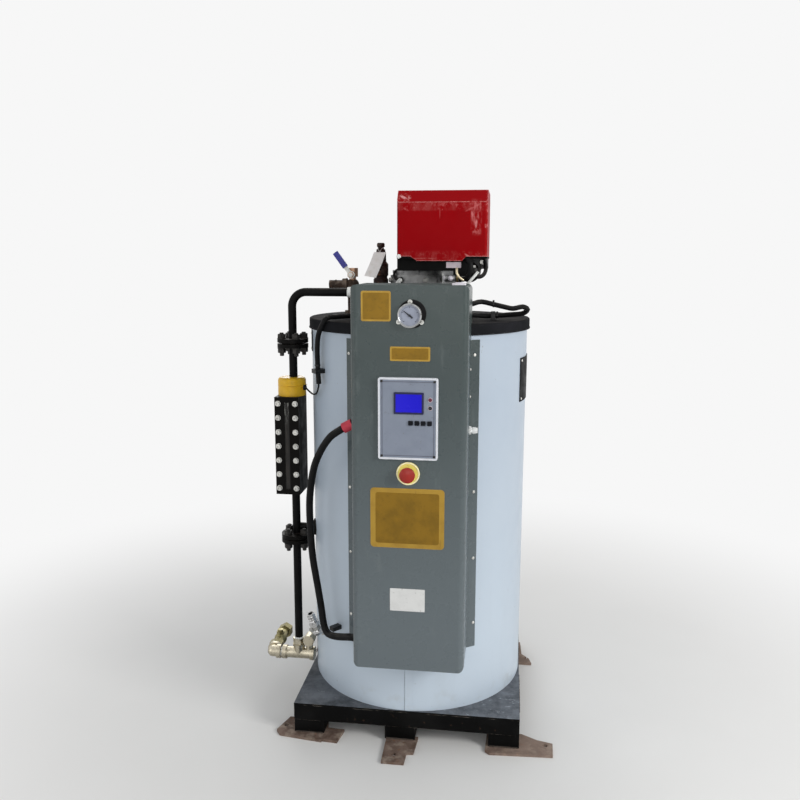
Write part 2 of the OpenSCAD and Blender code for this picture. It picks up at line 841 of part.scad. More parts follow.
module cable_gland() color([0.85, 0.85, 0.83]) placed() {
  along_x(cab_rt, -cab_front + gland_in, gland_z) {
    hex(20, 5);
    rod(15, gland_l);
    translate([0, 0, 9]) rod(18, 8);
  }
}

module hose_ferrule() color([0.8, 0.25, 0.3]) placed() {
  hole = hose_d + 2 * hose_gap;
  translate([cab_l, -cab_front + ferrule_in, ferrule_z]) rotate([0, -ferrule_turn, 0]) difference() {
    translate([0, 0, 8]) rod(hole + 2 * ferrule_wall, ferrule_l);
    translate([0, 0, -cut]) rod(hole, 2 * ferrule_l);
  }
}

// Cables

// the cables' points are drawn for a jacket of this radius
route_r = 317;

function laid(p) = [p[0] * R / route_r, p[1] + route_r - R, p[2]];

hose_path = [[-138.5, -340, 922], [-149, -340, 916.4], [-167, -340, 906.9], [-184, -338, 896],
  [-201, -331, 882], [-222, -316, 855], [-242, -300, 821], [-258, -285, 783], [-271, -270, 730],
  [-278, -262, 670], [-277, -260, 593], [-272, -260, 516], [-260, -262, 440], [-248, -268, 372],
  [-240, -276, 326], [-228, -287, 304], [-208, -302, 302], [-180, -320, 309], [-156, -334, 317],
  [-141, -339, 319], [-134, -340, 320]];

module control_hose() color(dark) placed() {
  translate([0, route_r - R, 0]) sweep(hose_path, hose_d / 2);
}

left_path = [[-108, -235.5, 1216], [-108, -222, 1216], [-112, -205, 1213], [-128, -186, 1205],
  [-160, -174, 1196], [-188, -188, 1194], [-206, -214, 1194], [-225, -243, 1192], [-240, -230, 1176],
  [-252, -218, 1155], [-259, -211, 1132], [-262, -207, 1101], [-262, -206, 1073],
  [-261, -207, 1042], [-258, -211, 1006]];

wire_path = [[-258, -211, 1008], [-260, -209, 996], [-270, -190, 976], [-288, -158, 968],
  [-306, -132, 972], [-320.5, -116.5, 980]];

module left_conduit() color(dark) placed() {
  sweep([for (p = left_path) laid(p)], conduit_d / 2);
  sweep([for (p = wire_path) laid(p)], wire_d / 2, 3, 8);
}

right_path = [[138, -235.5, 1228], [139, -222, 1228], [146, -202, 1229], [164, -172, 1230],
  [188, -154, 1235], [221, -150, 1228], [252, -150, 1221], [275, -150, 1217], [300, -148, 1222],
  [314, -140, 1214], [300, -126, 1202], [264, -116, 1198], [231, -113, 1195], [200, -114, 1194],
  [164, -128, 1197], [140, -162, 1202], [124, -202, 1206], [119, -222, 1207], [118, -235.5, 1208]];

module right_conduit() color(dark) placed() {
  sweep([for (p = right_path) laid(p)], conduit_d / 2);
}

// a clip on the cap that holds a conduit running along X at the height p[2]
module cap_clip(p) {
  hole = conduit_d + 4;
  w = hole + 6;
  translate([p[0], p[1], cap_top]) difference() {
    translate([0, -w / 2, 0]) cube([clip_h, w, p[2] + w / 2]);
    translate([-cut, 0, p[2]]) rotate([0, 90, 0]) rod(hole, clip_h + 2 * cut);
  }
}

// a clip on the jacket at the height z, reaching out by l
module jacket_clip(a, z, w, l) {
  r = R + skin_gap / 2;
  translate([0, 0, z]) difference() {
    rotate([0, 0, a]) translate([R - 4, -w / 2, 0]) cube([l + 4, w, clip_h]);
    translate([0, 0, -cut]) cylinder(r = r, h = clip_h + 2 * cut, $fn = 240);
  }
}

module cable_clips() color(dark) placed() {
  difference() {
    jacket_clip(clip_turn, clip_z, 26, 29);
    translate(laid([-261.3, -206.7, clip_z - cut])) rod(conduit_d + 2 * clip_gap, clip_h + 2 * cut);
  }
  jacket_clip(231, 300, 18, 30);
  cap_clip(laid([214, -113, 12]));
  cap_clip(laid([-166, -175, 13.3]));
}

// Level column

module level_pipes() color(dark) placed() {
  translate([-col_x, -col_y, 0]) {
    translate([0, 0, pf_top + pf_half]) rod(pipe_d, pipe_z - bend_r - pf_top - pf_half);
    translate([bend_r, 0, pipe_z - bend_r]) rotate([90, 0, 0]) rotate([0, 0, 90])
      rotate_extrude(angle = 90, $fn = 96) translate([bend_r, 0]) circle(d = pipe_d, $fn = 48);
    along_x(bend_r, 0, pipe_z) rod(pipe_d, col_x - drop_x - bend_r);
    translate([col_x - drop_x, 0, pipe_z]) sphere(d = pipe_d * 1.5, $fn = 64);
    translate([col_x - drop_x, 0, cap_top]) {
      rod(pipe_d + 6, pipe_z - cap_top);
      hex(nut_af, nut_h + 2);
    }
    translate([0, 0, sensor_z + sensor_h]) rod(pipe_d, pf_top - pf_half - sensor_z - sensor_h);
    translate([0, 0, pf_bot + pf_half]) rod(pipe_d, lg_z - pf_bot - pf_half);
    translate([0, 0, tee_top]) rod(pipe_d, pf_bot - pf_half - tee_top);
    difference() {
      along_x(0, 8, pf_bot + 30) rod(22, col_out + 37);
      translate([col_x, col_y, 0]) cylinder(r = R + skin_gap + 2, h = pf_bot + 100, $fn = 240);
    }
    difference() {
      along_x(col_out + 10, 8, pf_bot + 30) rod(50, 22);
      translate([col_x, col_y, 0]) cylinder(r = R + skin_gap, h = pf_bot + 100, $fn = 240);
    }
  }
}

module flange_pair(z) {
  translate([0, 0, z]) {
    for (s = [-pf_half, pf_gap / 2]) translate([0, 0, s]) rod(pf_d, pf_t);
    translate([0, 0, -pf_gap / 2]) rod(pf_d - 32, pf_gap);
  }
}

module column_flanges() color(dark) placed() {
  translate([-col_x, -col_y, 0]) {
    flange_pair(pf_top);
    flange_pair(pf_bot);
  }
}

module sensor_cap() color([0.85, 0.66, 0.11]) placed() {
  translate([-col_x - 5, -col_y, sensor_z]) {
    rotate_extrude($fn = 128) {
      square([sensor_d / 2, sensor_h - sensor_r]);
      square([sensor_d / 2 - sensor_r, sensor_h]);
      translate([sensor_d / 2 - sensor_r, sensor_h - sensor_r]) circle(sensor_r, $fn = 48);
    }
    rotate([0, 0, -20]) along_x(sensor_d / 2 - 4, 0, 25) rod(14, 6.5);
  }
}

module level_gauge_block() color(dark) placed() {
  translate([-col_x - lg_off - lg_w / 2, -col_y - lg_d / 2 - 2, lg_z]) difference() {
    cube([lg_w, lg_d, lg_h]);
    translate([(lg_w - slot_w) / 2, -cut, slot_end]) cube([slot_w, slot_d + cut, lg_h - 2 * slot_end]);
    translate([-cut, cover_t, -cut]) difference() {
      cube([lg_w + 2 * cut, groove_w, lg_h + 2 * cut]);
      translate([cut + groove_d, -cut, cut + groove_d])
        cube([lg_w - 2 * groove_d, groove_w + 2 * cut, lg_h - 2 * groove_d]);
    }
  }
}

module gauge_glass() color([0.25, 0.28, 0.27]) placed() {
  gap = seat_gap / 2;
  glass_t = 4;
  translate([-col_x - lg_off - slot_w / 2 + gap, -col_y - lg_d / 2 - 2 + slot_d - glass_t,
    lg_z + slot_end + gap])
    cube([slot_w - 2 * gap, glass_t, lg_h - 2 * slot_end - 2 * gap]);
}

module arm(l) {
  rod(tee_d, l);
  translate([0, 0, l - band_w]) rod(band_d, band_w);
}

module drain_tee() color(steel) placed() {
  translate([-col_x, -col_y, tee_z]) {
    difference() {
      union() {
        along_x(0, 0, 0) arm(tee_right);
        rod(tee_d, tee_up);
        rotate([0, 0, 180]) along_x(0, 0, 0) arm(tee_left);
      }
      translate([col_x, col_y, -tee_d]) cylinder(r = R + skin_gap, h = 2 * tee_d, $fn = 240);
    }
    translate([0, 0, tee_up - 4]) rod(band_d - 4, 8);
    translate([0, 0, tee_up + 4]) hex(tee_d - 2, tee_nut);
    translate([plug_x, 0, 10]) rod(22, 37);
    along_y(plug_x, -16, 47) rod(tee_d, 32);
    rotate([0, 0, 180]) along_x(tee_left, 0, 0) rod(pipe_d + 2, 10);
    translate([-cock_x, 0, 0]) {
      along_x(0, 0, 0) arm(elbow_l);
      sphere(d = tee_d, $fn = 64);
      along_y(0, 0, 0) arm(elbow_l);
    }
  }
}

module drain_cock() color([0.55, 0.47, 0.3]) placed() {
  mid = cock_l * 0.45;
  y0 = -col_y + elbow_l;
  end_nut = 26;
  along_y(-col_x - cock_x, y0, tee_z) difference() {
    union() {
      rotate([0, 0, 30]) hex(cock_af, 22);
      rod(cock_af - 10, cock_l);
      translate([0, 0, mid]) sphere(d = cock_af, $fn = 64);
      translate([0, 0, cock_l - end_nut]) rotate([0, 0, 30]) hex(cock_af, end_nut);
    }
    translate([0, 0, cock_l - cock_depth]) rod(cock_bore, cock_depth + cut);
  }
  translate([-col_x - cock_x, y0 + mid, tee_z]) {
    rod(18, 32);
    rotate([0, 0, 30]) hex(22, 26);
  }
}

module feed_inlet() color(steel) placed() {
  difference() {
    rotate([0, 0, feed_turn]) translate([R - 6, 0, feed_z]) rotate([0, 90, 0]) union() {
      rod(26, 34);
      translate([0, 0, 8]) hex(32, 10);
    }
    translate([0, 0, feed_z - 70]) cylinder(r = R + skin_gap, h = 140, $fn = 240);
  }
  rotate([0, 0, feed_turn]) translate([R + 28, 0, feed_z]) {
    sphere(d = 30, $fn = 64);
    rotate([0, 20, 0]) difference() {
      union() {
        rod(barb_d, barb_l);
        translate([0, 0, 24]) rod(30, 10);
      }
      translate([0, 0, 22]) cylinder(d = barb_bore, h = barb_l, $fn = 48);
    }
  }
}

// Burner

module burner_flange() color(steel) placed() {
  r = collar_d / 2;
  h = body_z - cap_top;
  translate([-collar_x, 0, cap_top]) rotate_extrude($fn = 180)
    polygon([[0, 0], [r, 0], [r, 12], [r - 18, 12], [r - 24, 20], [r - 24, h - 72], [r - 12, h - 52],
      [r, h - 46], [r, h - 14], [r - 6, h - 14], [r - 6, h], [0, h]]);
}

module burner_casing() color(dark) placed() {
  translate([hood_x, -hood_front + hood_t + (hood_d - hood_t) / 2, hood_bot - burner_t])
    linear_extrude(burner_t) square([hood_w, hood_d - hood_t], center = true);
  translate([hood_x - hood_w / 2 + casing_w / 2 - 2, -hood_front + 12 + casing_d / 2, body_z])
    linear_extrude(casing_h) rrect(casing_w, casing_d, casing_r);
}

module hood_profile(i) {
  y0 = -hood_front + i;
  y1 = -hood_front + hood_d - i;
  h = hood_h - i;
  polygon([[y0, 0], [y0, h - slope_h], [y0 + slope_d, h], [y1 - slope_d, h], [y1, h - slope_h],
    [y1, 0]]);
}

module hood_shape(i, z) {
  intersection() {
    translate([-hood_w / 2 + i, 0, z]) rotate([90, 0, 90]) linear_extrude(hood_w - 2 * i)
      hood_profile(i);
    translate([0, -hood_front + hood_d / 2, z - 1]) linear_extrude(hood_h + 2)
      rrect(hood_w - 2 * i, hood_d - 2 * i, hood_r - i);
  }
}

module burner_hood() color([0.58, 0.02, 0.05]) placed() {
  translate([hood_x, 0, hood_bot]) difference() {
    hood_shape(0, 0);
    hood_shape(hood_t, -1);
  }
  translate([hood_x - 72, -hood_front + hood_t, hood_bot]) rotate([90, 0, 0])
    linear_extrude(hood_t) polygon([[-14, 0], [4, -lip_h], [128, -lip_h], [138, 0]]);
}

module burner_motor() color(dark) placed() {
  r = motor_d / 2;
  x = hood_x + hood_w / 2 - motor_in;
  z = hood_bot - motor_down;
  along_y(x, -motor_front, z) rotate_extrude($fn = 128)
    polygon([[0, 0], [r - 13, 0], [r - 6, 3], [r - 1, 9], [r - 1, 26], [r, 26], [r, 34],
      [r - 1, 34], [r - 1, motor_l - 16], [r - 7, motor_l - 10], [r - 10, motor_l], [0, motor_l]]);
  translate([x - 2, -motor_front + 6, z + 13]) rotate([90, 0, 0]) linear_extrude(12) rrect(15, 30, 7);
  translate([x - 8 + fan_w / 2, -motor_front + 8 + fan_l / 2, hood_bot - burner_t - fan_h])
    linear_extrude(fan_h) rrect(fan_w, fan_l, 8);
}

module gas_valve() color([0.6, 0.61, 0.62]) placed() {
  translate([valve_x, -valve_front, body_z - valve_h]) cube([valve_w, valve_d, valve_h]);
  along_x(valve_x + 8, -valve_front - 6, body_z - 20) rod(17, 28);
  along_x(valve_x + valve_w, -union_y, hood_bot - union_down) difference() {
    union() {
      rod(gas_bore + 8, union_l);
      translate([0, 0, 6]) rod(gas_bore + 14, 10);
    }
    translate([0, 0, 4]) rod(gas_bore, union_l);
  }
}

// Steam fittings

module steam_outlet() color(rust) placed() {
  h = steam_z - cap_top;
  elbow_d = riser_d + 8;
  translate([-riser_x, 0, 0]) difference() {
    union() {
      translate([0, 0, cap_top]) {
        hex(nut_af, nut_h);
        rod(riser_d, h);
        translate([0, 0, h - 30]) rod(elbow_d, 12);
      }
      translate([0, 0, steam_z]) sphere(d = elbow_d, $fn = 64);
      along_x(-stub_l, 0, steam_z) rod(steam_d, stub_l);
      along_x(-30, 0, steam_z) rod(steam_d + 10, 14);
    }
    along_x(-stub_l - cut, 0, steam_z) rod(steam_bore, steam_depth + cut);
    translate([0, 0, steam_z + elbow_top]) rod(elbow_d + 2, elbow_d);
  }
}

module vent_valve() color(steel) placed() {
  translate([-riser_x, 0, 0]) {
    translate([0, 0, steam_z + elbow_top]) rod(20, vent_z - steam_z - elbow_top);
    translate([0, 0, vent_z - 6]) hex(vent_af, 26);
    along_y(0, -lever_y + 0.2, vent_z) {
      rod(18, lever_y - 0.2);
      translate([0, 0, -9]) rod(pin_d, 10);
      translate([0, 0, -9]) hex(16, 5);
    }
  }
}

module valve_lever() color(steel) placed() {
  along_y(-riser_x, -lever_y - lever_t, vent_z) rotate([0, 0, 180 + lever_a]) difference() {
    union() {
      rod(22, lever_t);
      translate([0, -lever_w / 2, 0]) cube([lever_l - 12, lever_w, lever_t]);
    }
    translate([0, 0, -cut]) rod(pin_d + 2 * run_gap, lever_t + 2 * cut);
  }
}

module lever_grip() color([0.24, 0.25, 0.56]) placed() {
  slack = seat_gap / 4;
  wall = grip_wall + 2 * seat_gap;
  along_y(-riser_x, -lever_y - lever_t, vent_z) rotate([0, 0, 180 + lever_a]) difference() {
    translate([lever_l - grip_l, -lever_w / 2 - grip_wall, -wall])
      cube([grip_l, lever_w + 2 * grip_wall, lever_t + 2 * wall]);
    translate([lever_l - grip_l - 8, -lever_w / 2 - slack, -slack])
      cube([grip_l - 3.9, lever_w + 2 * slack, lever_t + 2 * slack]);
  }
}

module safety_valve() color([0.3, 0.2, 0.18]) placed() {
  r = safety_d / 2;
  h = safety_h;
  translate([-safety_x, 0, cap_top]) {
    hex(nut_af, nut_h + 2);
    rotate_extrude($fn = 96) polygon([[0, 0], [neck_d / 2, 0], [neck_d / 2, 56], [r - 3, 58],
      [r, 62], [r, 108], [r - 3, 112], [r - 3, 116], [r, 120], [r, 152], [r - 6, 160],
      [r - 7, h - 28], [13, h - 24], [13.5, h - 20], [9, h - 17], [9, h - 13], [11.5, h - 11],
      [11.5, h - 3], [9, h], [0, h]]);
  }
}

base_plate();
side_rails();
cross_rails();
legs();
front_feet();
rear_feet();
jacket();
top_cap();
side_plates();
cabinet_cover();
controller_bezel();
controller_panel();
controller_screen();
controller_keys();
gauge_case();
gauge_dial();
estop_collar();
estop_button();
brass_plates();
white_label();
cable_gland();
hose_ferrule();
control_hose();
cable_clips();
left_conduit();
right_conduit();
level_pipes();
column_flanges();
sensor_cap();
level_gauge_block();
gauge_glass();
drain_tee();
drain_cock();
feed_inlet();
burner_flange();
burner_casing();
burner_hood();
burner_motor();
gas_valve();
flue_spigot();
steam_outlet();
vent_valve();
valve_lever();
lever_grip();
safety_valve();
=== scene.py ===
"""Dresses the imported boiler: camera, lights, materials, fasteners and small parts."""
import math
import random

import bmesh
import bpy
from mathutils import Matrix, Vector


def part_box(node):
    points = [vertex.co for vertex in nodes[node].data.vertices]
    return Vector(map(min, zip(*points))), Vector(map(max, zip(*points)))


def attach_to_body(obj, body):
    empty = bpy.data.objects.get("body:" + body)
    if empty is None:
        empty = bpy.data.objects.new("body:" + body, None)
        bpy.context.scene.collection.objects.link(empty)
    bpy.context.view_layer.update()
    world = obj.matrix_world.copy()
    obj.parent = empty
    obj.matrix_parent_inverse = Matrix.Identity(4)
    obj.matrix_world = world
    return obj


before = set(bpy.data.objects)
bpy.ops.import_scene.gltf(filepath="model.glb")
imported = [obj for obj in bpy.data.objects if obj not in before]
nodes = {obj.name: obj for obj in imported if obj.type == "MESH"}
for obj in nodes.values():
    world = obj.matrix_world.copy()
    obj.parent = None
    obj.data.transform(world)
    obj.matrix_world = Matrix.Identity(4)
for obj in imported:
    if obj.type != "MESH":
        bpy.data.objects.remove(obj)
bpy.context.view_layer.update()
box = {name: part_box(name) for name in nodes}

BODY = "boiler"
UP = Vector((0, 0, 1))
FRONT = Vector((0, -1, 0))
RIGHT = Vector((1, 0, 0))
axis = (box["jacket"][0] + box["jacket"][1]) / 2
shell_r = (box["jacket"][1].x - box["jacket"][0].x) / 2
cap_low = box["top_cap"][0].z
cab_lo, cab_hi = box["cabinet_cover"]
front_y = cab_lo.y

# In millimetres from the shell's axis
COLUMN_X, COLUMN_Y = -360, -100
COLLAR_X, COLLAR_R = -5, 79.5
STEAM_Z = 1275


def at(x, y, z):
    """A point given in millimetres from the shell's axis on the floor."""
    return Vector((axis.x + x / 1000, axis.y + y / 1000, z / 1000))


def on_shell(angle, z, out=0.0):
    """A point at an angle from the front (+ to the right), out metres off the jacket, z in mm."""
    a = math.radians(angle)
    r = shell_r + out
    return Vector((axis.x + r * math.sin(a), axis.y - r * math.cos(a), z / 1000))


def outward(angle):
    a = math.radians(angle)
    return Vector((math.sin(a), -math.cos(a), 0))


def srgb(r, g, b):
    def linear(c):
        c /= 255
        return c / 12.92 if c <= 0.04045 else ((c + 0.055) / 1.055) ** 2.4
    return (linear(r), linear(g), linear(b), 1)


def add_object(name, data):
    made = bpy.data.objects.new(name, data)
    bpy.context.scene.collection.objects.link(made)
    return made


# Camera

def make_camera():
    place = at(265.1, -2406.9, 1349.7)
    yaw, pitch, roll = 7.634, 9.824, 0.075
    data = bpy.data.cameras.new("camera")
    data.lens = 36.6
    data.sensor_width = 36
    data.clip_end = 100
    camera = add_object("camera", data)
    turn = Matrix.Rotation(math.radians(yaw), 4, "Z")
    tilt = Matrix.Rotation(math.radians(90 - pitch), 4, "X")
    lean = Matrix.Rotation(math.radians(roll), 4, "Z")
    camera.matrix_world = Matrix.Translation(place) @ turn @ tilt @ lean
    bpy.context.scene.camera = camera


# Materials

class Surface:
    """A Principled material that is built up layer by layer, with colours from 0 to 255."""

    def __init__(self, name, colour, rough, metal=0.0, gloss=0.5):
        self.material = bpy.data.materials.new(name)
        self.material.use_nodes = True
        self.tree = self.material.node_tree
        self.shader = self.tree.nodes["Principled BSDF"]
        self.shader.inputs["Base Color"].default_value = srgb(*colour)
        self.shader.inputs["Roughness"].default_value = rough
        self.shader.inputs["Metallic"].default_value = metal
        self.shader.inputs["Specular IOR Level"].default_value = gloss
        self.place = self.node("ShaderNodeTexCoord").outputs["Object"]
        self.colour = self.rough = None
        self.heights = []

    def node(self, kind, **values):
        made = self.tree.nodes.new(kind)
        for key, value in values.items():
            setattr(made, key, value)
        return made

    def link(self, a, b):
        self.tree.links.new(a, b)

    def value(self, socket, v):
        if hasattr(v, "is_linked"):
            self.link(v, socket)
        else:
            socket.default_value = v

    def noise(self, scale, detail=4.0, rough=0.55, stretch=(1, 1, 1), shift=0.0):
        mapping = self.node("ShaderNodeMapping")
        mapping.inputs["Scale"].default_value = stretch
        mapping.inputs["Location"].default_value = (shift, shift * 0.7, shift * 1.3)
        self.link(self.place, mapping.inputs["Vector"])
        made = self.node("ShaderNodeTexNoise")
        made.inputs["Scale"].default_value = scale
        made.inputs["Detail"].default_value = detail
        made.inputs["Roughness"].default_value = rough
        self.link(mapping.outputs["Vector"], made.inputs["Vector"])
        return made.outputs["Fac"]

    def cells(self, scale):
        made = self.node("ShaderNodeTexVoronoi")
        made.inputs["Scale"].default_value = scale
        self.link(self.place, made.inputs["Vector"])
        return made.outputs["Distance"]

    def ramp(self, fac, low, high, to_low=0.0, to_high=1.0):
        made = self.node("ShaderNodeMapRange", interpolation_type="SMOOTHSTEP")
        self.link(fac, made.inputs["Value"])
        for key, v in (("From Min", low), ("From Max", high), ("To Min", to_low), ("To Max", to_high)):
            made.inputs[key].default_value = v
        return made.outputs["Result"]

    def math(self, operation, a, b):
        made = self.node("ShaderNodeMath", operation=operation, use_clamp=True)
        self.value(made.inputs[0], a)
        self.value(made.inputs[1], b)
        return made.outputs[0]

    def both(self, a, b):
        return self.math("MULTIPLY", a, b)

    def along(self, name):
        split = self.node("ShaderNodeSeparateXYZ")
        self.link(self.place, split.inputs["Vector"])
        return split.outputs[name]

    def band(self, name, low, high, soft):
        """1 where a coordinate lies between low and high, fading out over soft metres."""
        place = self.along(name)
        return self.both(self.ramp(place, low - soft, low), self.ramp(place, high + soft, high))

    def spot(self, place, size, turn=0.0):
        """1 inside an ellipse round place, in metres, turned by degrees about Y, fading at its rim."""
        mapping = self.node("ShaderNodeMapping", vector_type="TEXTURE")
        mapping.inputs["Location"].default_value = place
        mapping.inputs["Rotation"].default_value = (0, math.radians(turn), 0)
        mapping.inputs["Scale"].default_value = size
        self.link(self.place, mapping.inputs["Vector"])
        length = self.node("ShaderNodeVectorMath", operation="LENGTH")
        self.link(mapping.outputs["Vector"], length.inputs[0])
        return self.ramp(length.outputs["Value"], 1.0, 0.5)

    def facing_up(self, low, high):
        split = self.node("ShaderNodeSeparateXYZ")
        self.link(self.node("ShaderNodeNewGeometry").outputs["Normal"], split.inputs["Vector"])
        return self.ramp(split.outputs["Z"], low, high)

    def edges(self, radius, low=0.02, high=0.2):
        """1 along sharp edges, 0 on the flat."""
        bevel = self.node("ShaderNodeBevel", samples=4)
        bevel.inputs["Radius"].default_value = radius
        geometry = self.node("ShaderNodeNewGeometry")
        dot = self.node("ShaderNodeVectorMath", operation="DOT_PRODUCT")
        self.link(bevel.outputs["Normal"], dot.inputs[0])
        self.link(geometry.outputs["Normal"], dot.inputs[1])
        return self.ramp(dot.outputs["Value"], 1 - low, 1 - high)

    def tint(self, fac, colour):
        made = self.node("ShaderNodeMix", data_type="RGBA", blend_type="MIX")
        self.value(made.inputs["Factor"], fac)
        if self.colour is None:
            made.inputs[6].default_value = self.shader.inputs["Base Color"].default_value[:]
        else:
            self.link(self.colour, made.inputs[6])
        made.inputs[7].default_value = srgb(*colour)
        self.colour = made.outputs[2]
        return self

    def dull(self, fac, rough):
        made = self.node("ShaderNodeMix", data_type="FLOAT")
        self.value(made.inputs[0], fac)
        if self.rough is None:
            made.inputs[2].default_value = self.shader.inputs["Roughness"].default_value
        else:
            self.link(self.rough, made.inputs[2])
        made.inputs[3].default_value = rough
        self.rough = made.outputs[0]
        return self

    def bump(self, fac, depth):
        self.heights.append((fac, depth))
        return self

    def done(self):
        if self.colour:
            self.link(self.colour, self.shader.inputs["Base Color"])
        if self.rough:
            self.link(self.rough, self.shader.inputs["Roughness"])
        normal = None
        for fac, depth in self.heights:
            made = self.node("ShaderNodeBump")
            made.inputs["Distance"].default_value = depth
            made.inputs["Strength"].default_value = 1.0
            self.link(fac, made.inputs["Height"])
            if normal:
                self.link(normal, made.inputs["Normal"])
            normal = made.outputs["Normal"]
        if normal:
            self.link(normal, self.shader.inputs["Normal"])
        return self.material


def jacket_paint():
    s = Surface("jacket_paint", (176, 188, 201), 0.34, gloss=0.4)
    s.tint(s.ramp(s.noise(2.2, 5), 0.35, 0.75), (168, 181, 196))
    # Painted light: the jacket turns lighter towards the bottom, standing in for how the light falls on it.
    s.tint(s.ramp(s.along("Z"), 1.0, 0.15, 0, 0.65), (199, 212, 224))
    streaks = s.ramp(s.noise(9, 6, 0.6, (1, 1, 0.12)), 0.55, 0.8)
    s.tint(s.both(streaks, 0.22), (170, 180, 188))
    low = s.ramp(s.along("Z"), 0.2, 0.095)
    s.tint(s.both(low, s.ramp(s.noise(24, 6), 0.5, 0.8, 0, 0.5)), (160, 164, 164))
    spots = s.ramp(s.noise(120, 2, 0.5, shift=3), 0.72, 0.78)
    s.tint(s.both(spots, s.ramp(s.noise(5, 3), 0.5, 0.62)), (110, 104, 96))
    s.dull(s.ramp(s.noise(18, 5), 0.3, 0.8), 0.5)
    s.bump(s.noise(3.0, 2), 0.003).bump(s.noise(420, 3), 0.00004)
    return s.done()


def cabinet_paint():
    s = Surface("cabinet_paint", (59, 70, 69), 0.26, gloss=0.35)
    s.tint(s.ramp(s.noise(3.2, 5), 0.35, 0.72), (55, 66, 66))
    # Painted light: the cabinet turns lighter towards the bottom, standing in for how the light falls
    # there.
    s.tint(s.ramp(s.along("Z"), 1.25, 0.3, 0, 0.85), (101, 110, 115))
    s.tint(s.both(s.ramp(s.noise(26, 7, 0.65, (1, 1, 0.25)), 0.56, 0.8), 0.5), (112, 120, 120))
    s.tint(s.both(s.edges(0.0012), s.ramp(s.noise(60, 4), 0.45, 0.7)), (148, 152, 150))
    s.dull(s.ramp(s.noise(22, 5), 0.35, 0.75), 0.34)
    s.dull(s.facing_up(0.8, 0.97), 0.92)
    s.bump(s.cells(900), 0.00005).bump(s.noise(5, 2), 0.0025)
    return s.done()


def cap_paint():
    s = Surface("cap_paint", (27, 28, 30), 0.8, gloss=0.03)
    s.tint(s.ramp(s.noise(7, 6), 0.42, 0.75), (38, 38, 42))
    dusty = s.both(s.facing_up(0.6, 0.98), s.ramp(s.noise(11, 7, 0.65), 0.34, 0.68))
    s.tint(s.both(dusty, 0.22), (84, 76, 68))
    s.tint(s.both(s.edges(0.0015), s.ramp(s.noise(45, 4), 0.45, 0.62)), (112, 114, 116))
    s.dull(s.ramp(s.noise(16, 5), 0.3, 0.7), 0.9)
    s.bump(s.noise(240, 3), 0.00008)
    return s.done()


def dark_paint(name, dust, rough, colour):
    s = Surface(name, colour, rough, gloss=0.07)
    s.tint(s.ramp(s.noise(15, 6), 0.45, 0.8), [c + 8 for c in colour])
    dusty = s.both(s.facing_up(0.35, 0.95), s.ramp(s.noise(24, 7, 0.65), 0.36, 0.7))
    s.tint(s.both(dusty, dust), (104, 96, 88))
    s.tint(s.both(s.edges(0.0012), s.ramp(s.noise(70, 4), 0.5, 0.66)), (76, 72, 68))
    s.dull(s.ramp(s.noise(30, 5), 0.3, 0.7), min(rough + 0.22, 0.9))
    s.bump(s.noise(300, 4), 0.00012)
    return s.done()


def base_paint():
    s = Surface("base_paint", (8, 8, 8), 0.44, gloss=0.06)
    s.tint(s.ramp(s.noise(9, 6), 0.45, 0.8), (20, 20, 20))
    # Dust on the up-facing tops, partly real dust and partly a painted reflection: tinted slate-blue and
    # stronger towards the right.
    dusty = s.both(s.facing_up(0.5, 0.95), s.ramp(s.noise(13, 8, 0.7), 0.25, 0.7, 0.25, 1))
    s.tint(s.both(dusty, s.ramp(s.along("X"), -0.3, 0.3, 0.66, 0.92)), (128, 134, 142))
    scrapes = s.ramp(s.noise(75, 8, 0.75, (0.35, 1, 1), 7), 0.58, 0.66)
    scrapes = s.both(scrapes, s.ramp(s.along("X"), -0.3, 0.3, 0.3, 0.9))
    s.tint(s.both(s.both(s.facing_up(0.9, 0.99), scrapes), s.band("Y", axis.y - 0.33, axis.y - 0.2, 0.04)),
           (176, 182, 190))
    chips = s.ramp(s.noise(58, 6, 0.6, shift=5), 0.64, 0.7)
    s.tint(s.both(chips, s.ramp(s.along("Z"), 0.09, 0.02, 0.05, 0.8)), (92, 70, 56))
    s.tint(s.both(s.edges(0.002), s.ramp(s.noise(40, 5), 0.46, 0.62)), (112, 106, 100))
    s.dull(s.ramp(s.noise(20, 5), 0.3, 0.7), 0.62)
    s.bump(s.noise(160, 5), 0.00015)
    return s.done()


def rusty(name, colour, deep, rough=0.82, dust=0.8, pale_end=False):
    s = Surface(name, colour, rough, 0.15, gloss=0.25)
    s.tint(s.ramp(s.noise(26, 8, 0.65), 0.4, 0.62), deep)
    s.tint(s.both(s.ramp(s.noise(70, 6, 0.6, shift=4), 0.58, 0.74), 0.7), (128, 88, 60))
    s.tint(s.both(s.ramp(s.noise(34, 5, shift=9), 0.48, 0.68), dust), (150, 136, 124))
    if pale_end:
        s.tint(s.both(s.ramp(s.along("X"), 0.24, 0.34), 0.42), (160, 142, 130))
    s.bump(s.noise(190, 6, 0.65), 0.0005).bump(s.noise(34, 5), 0.0012)
    return s.done()


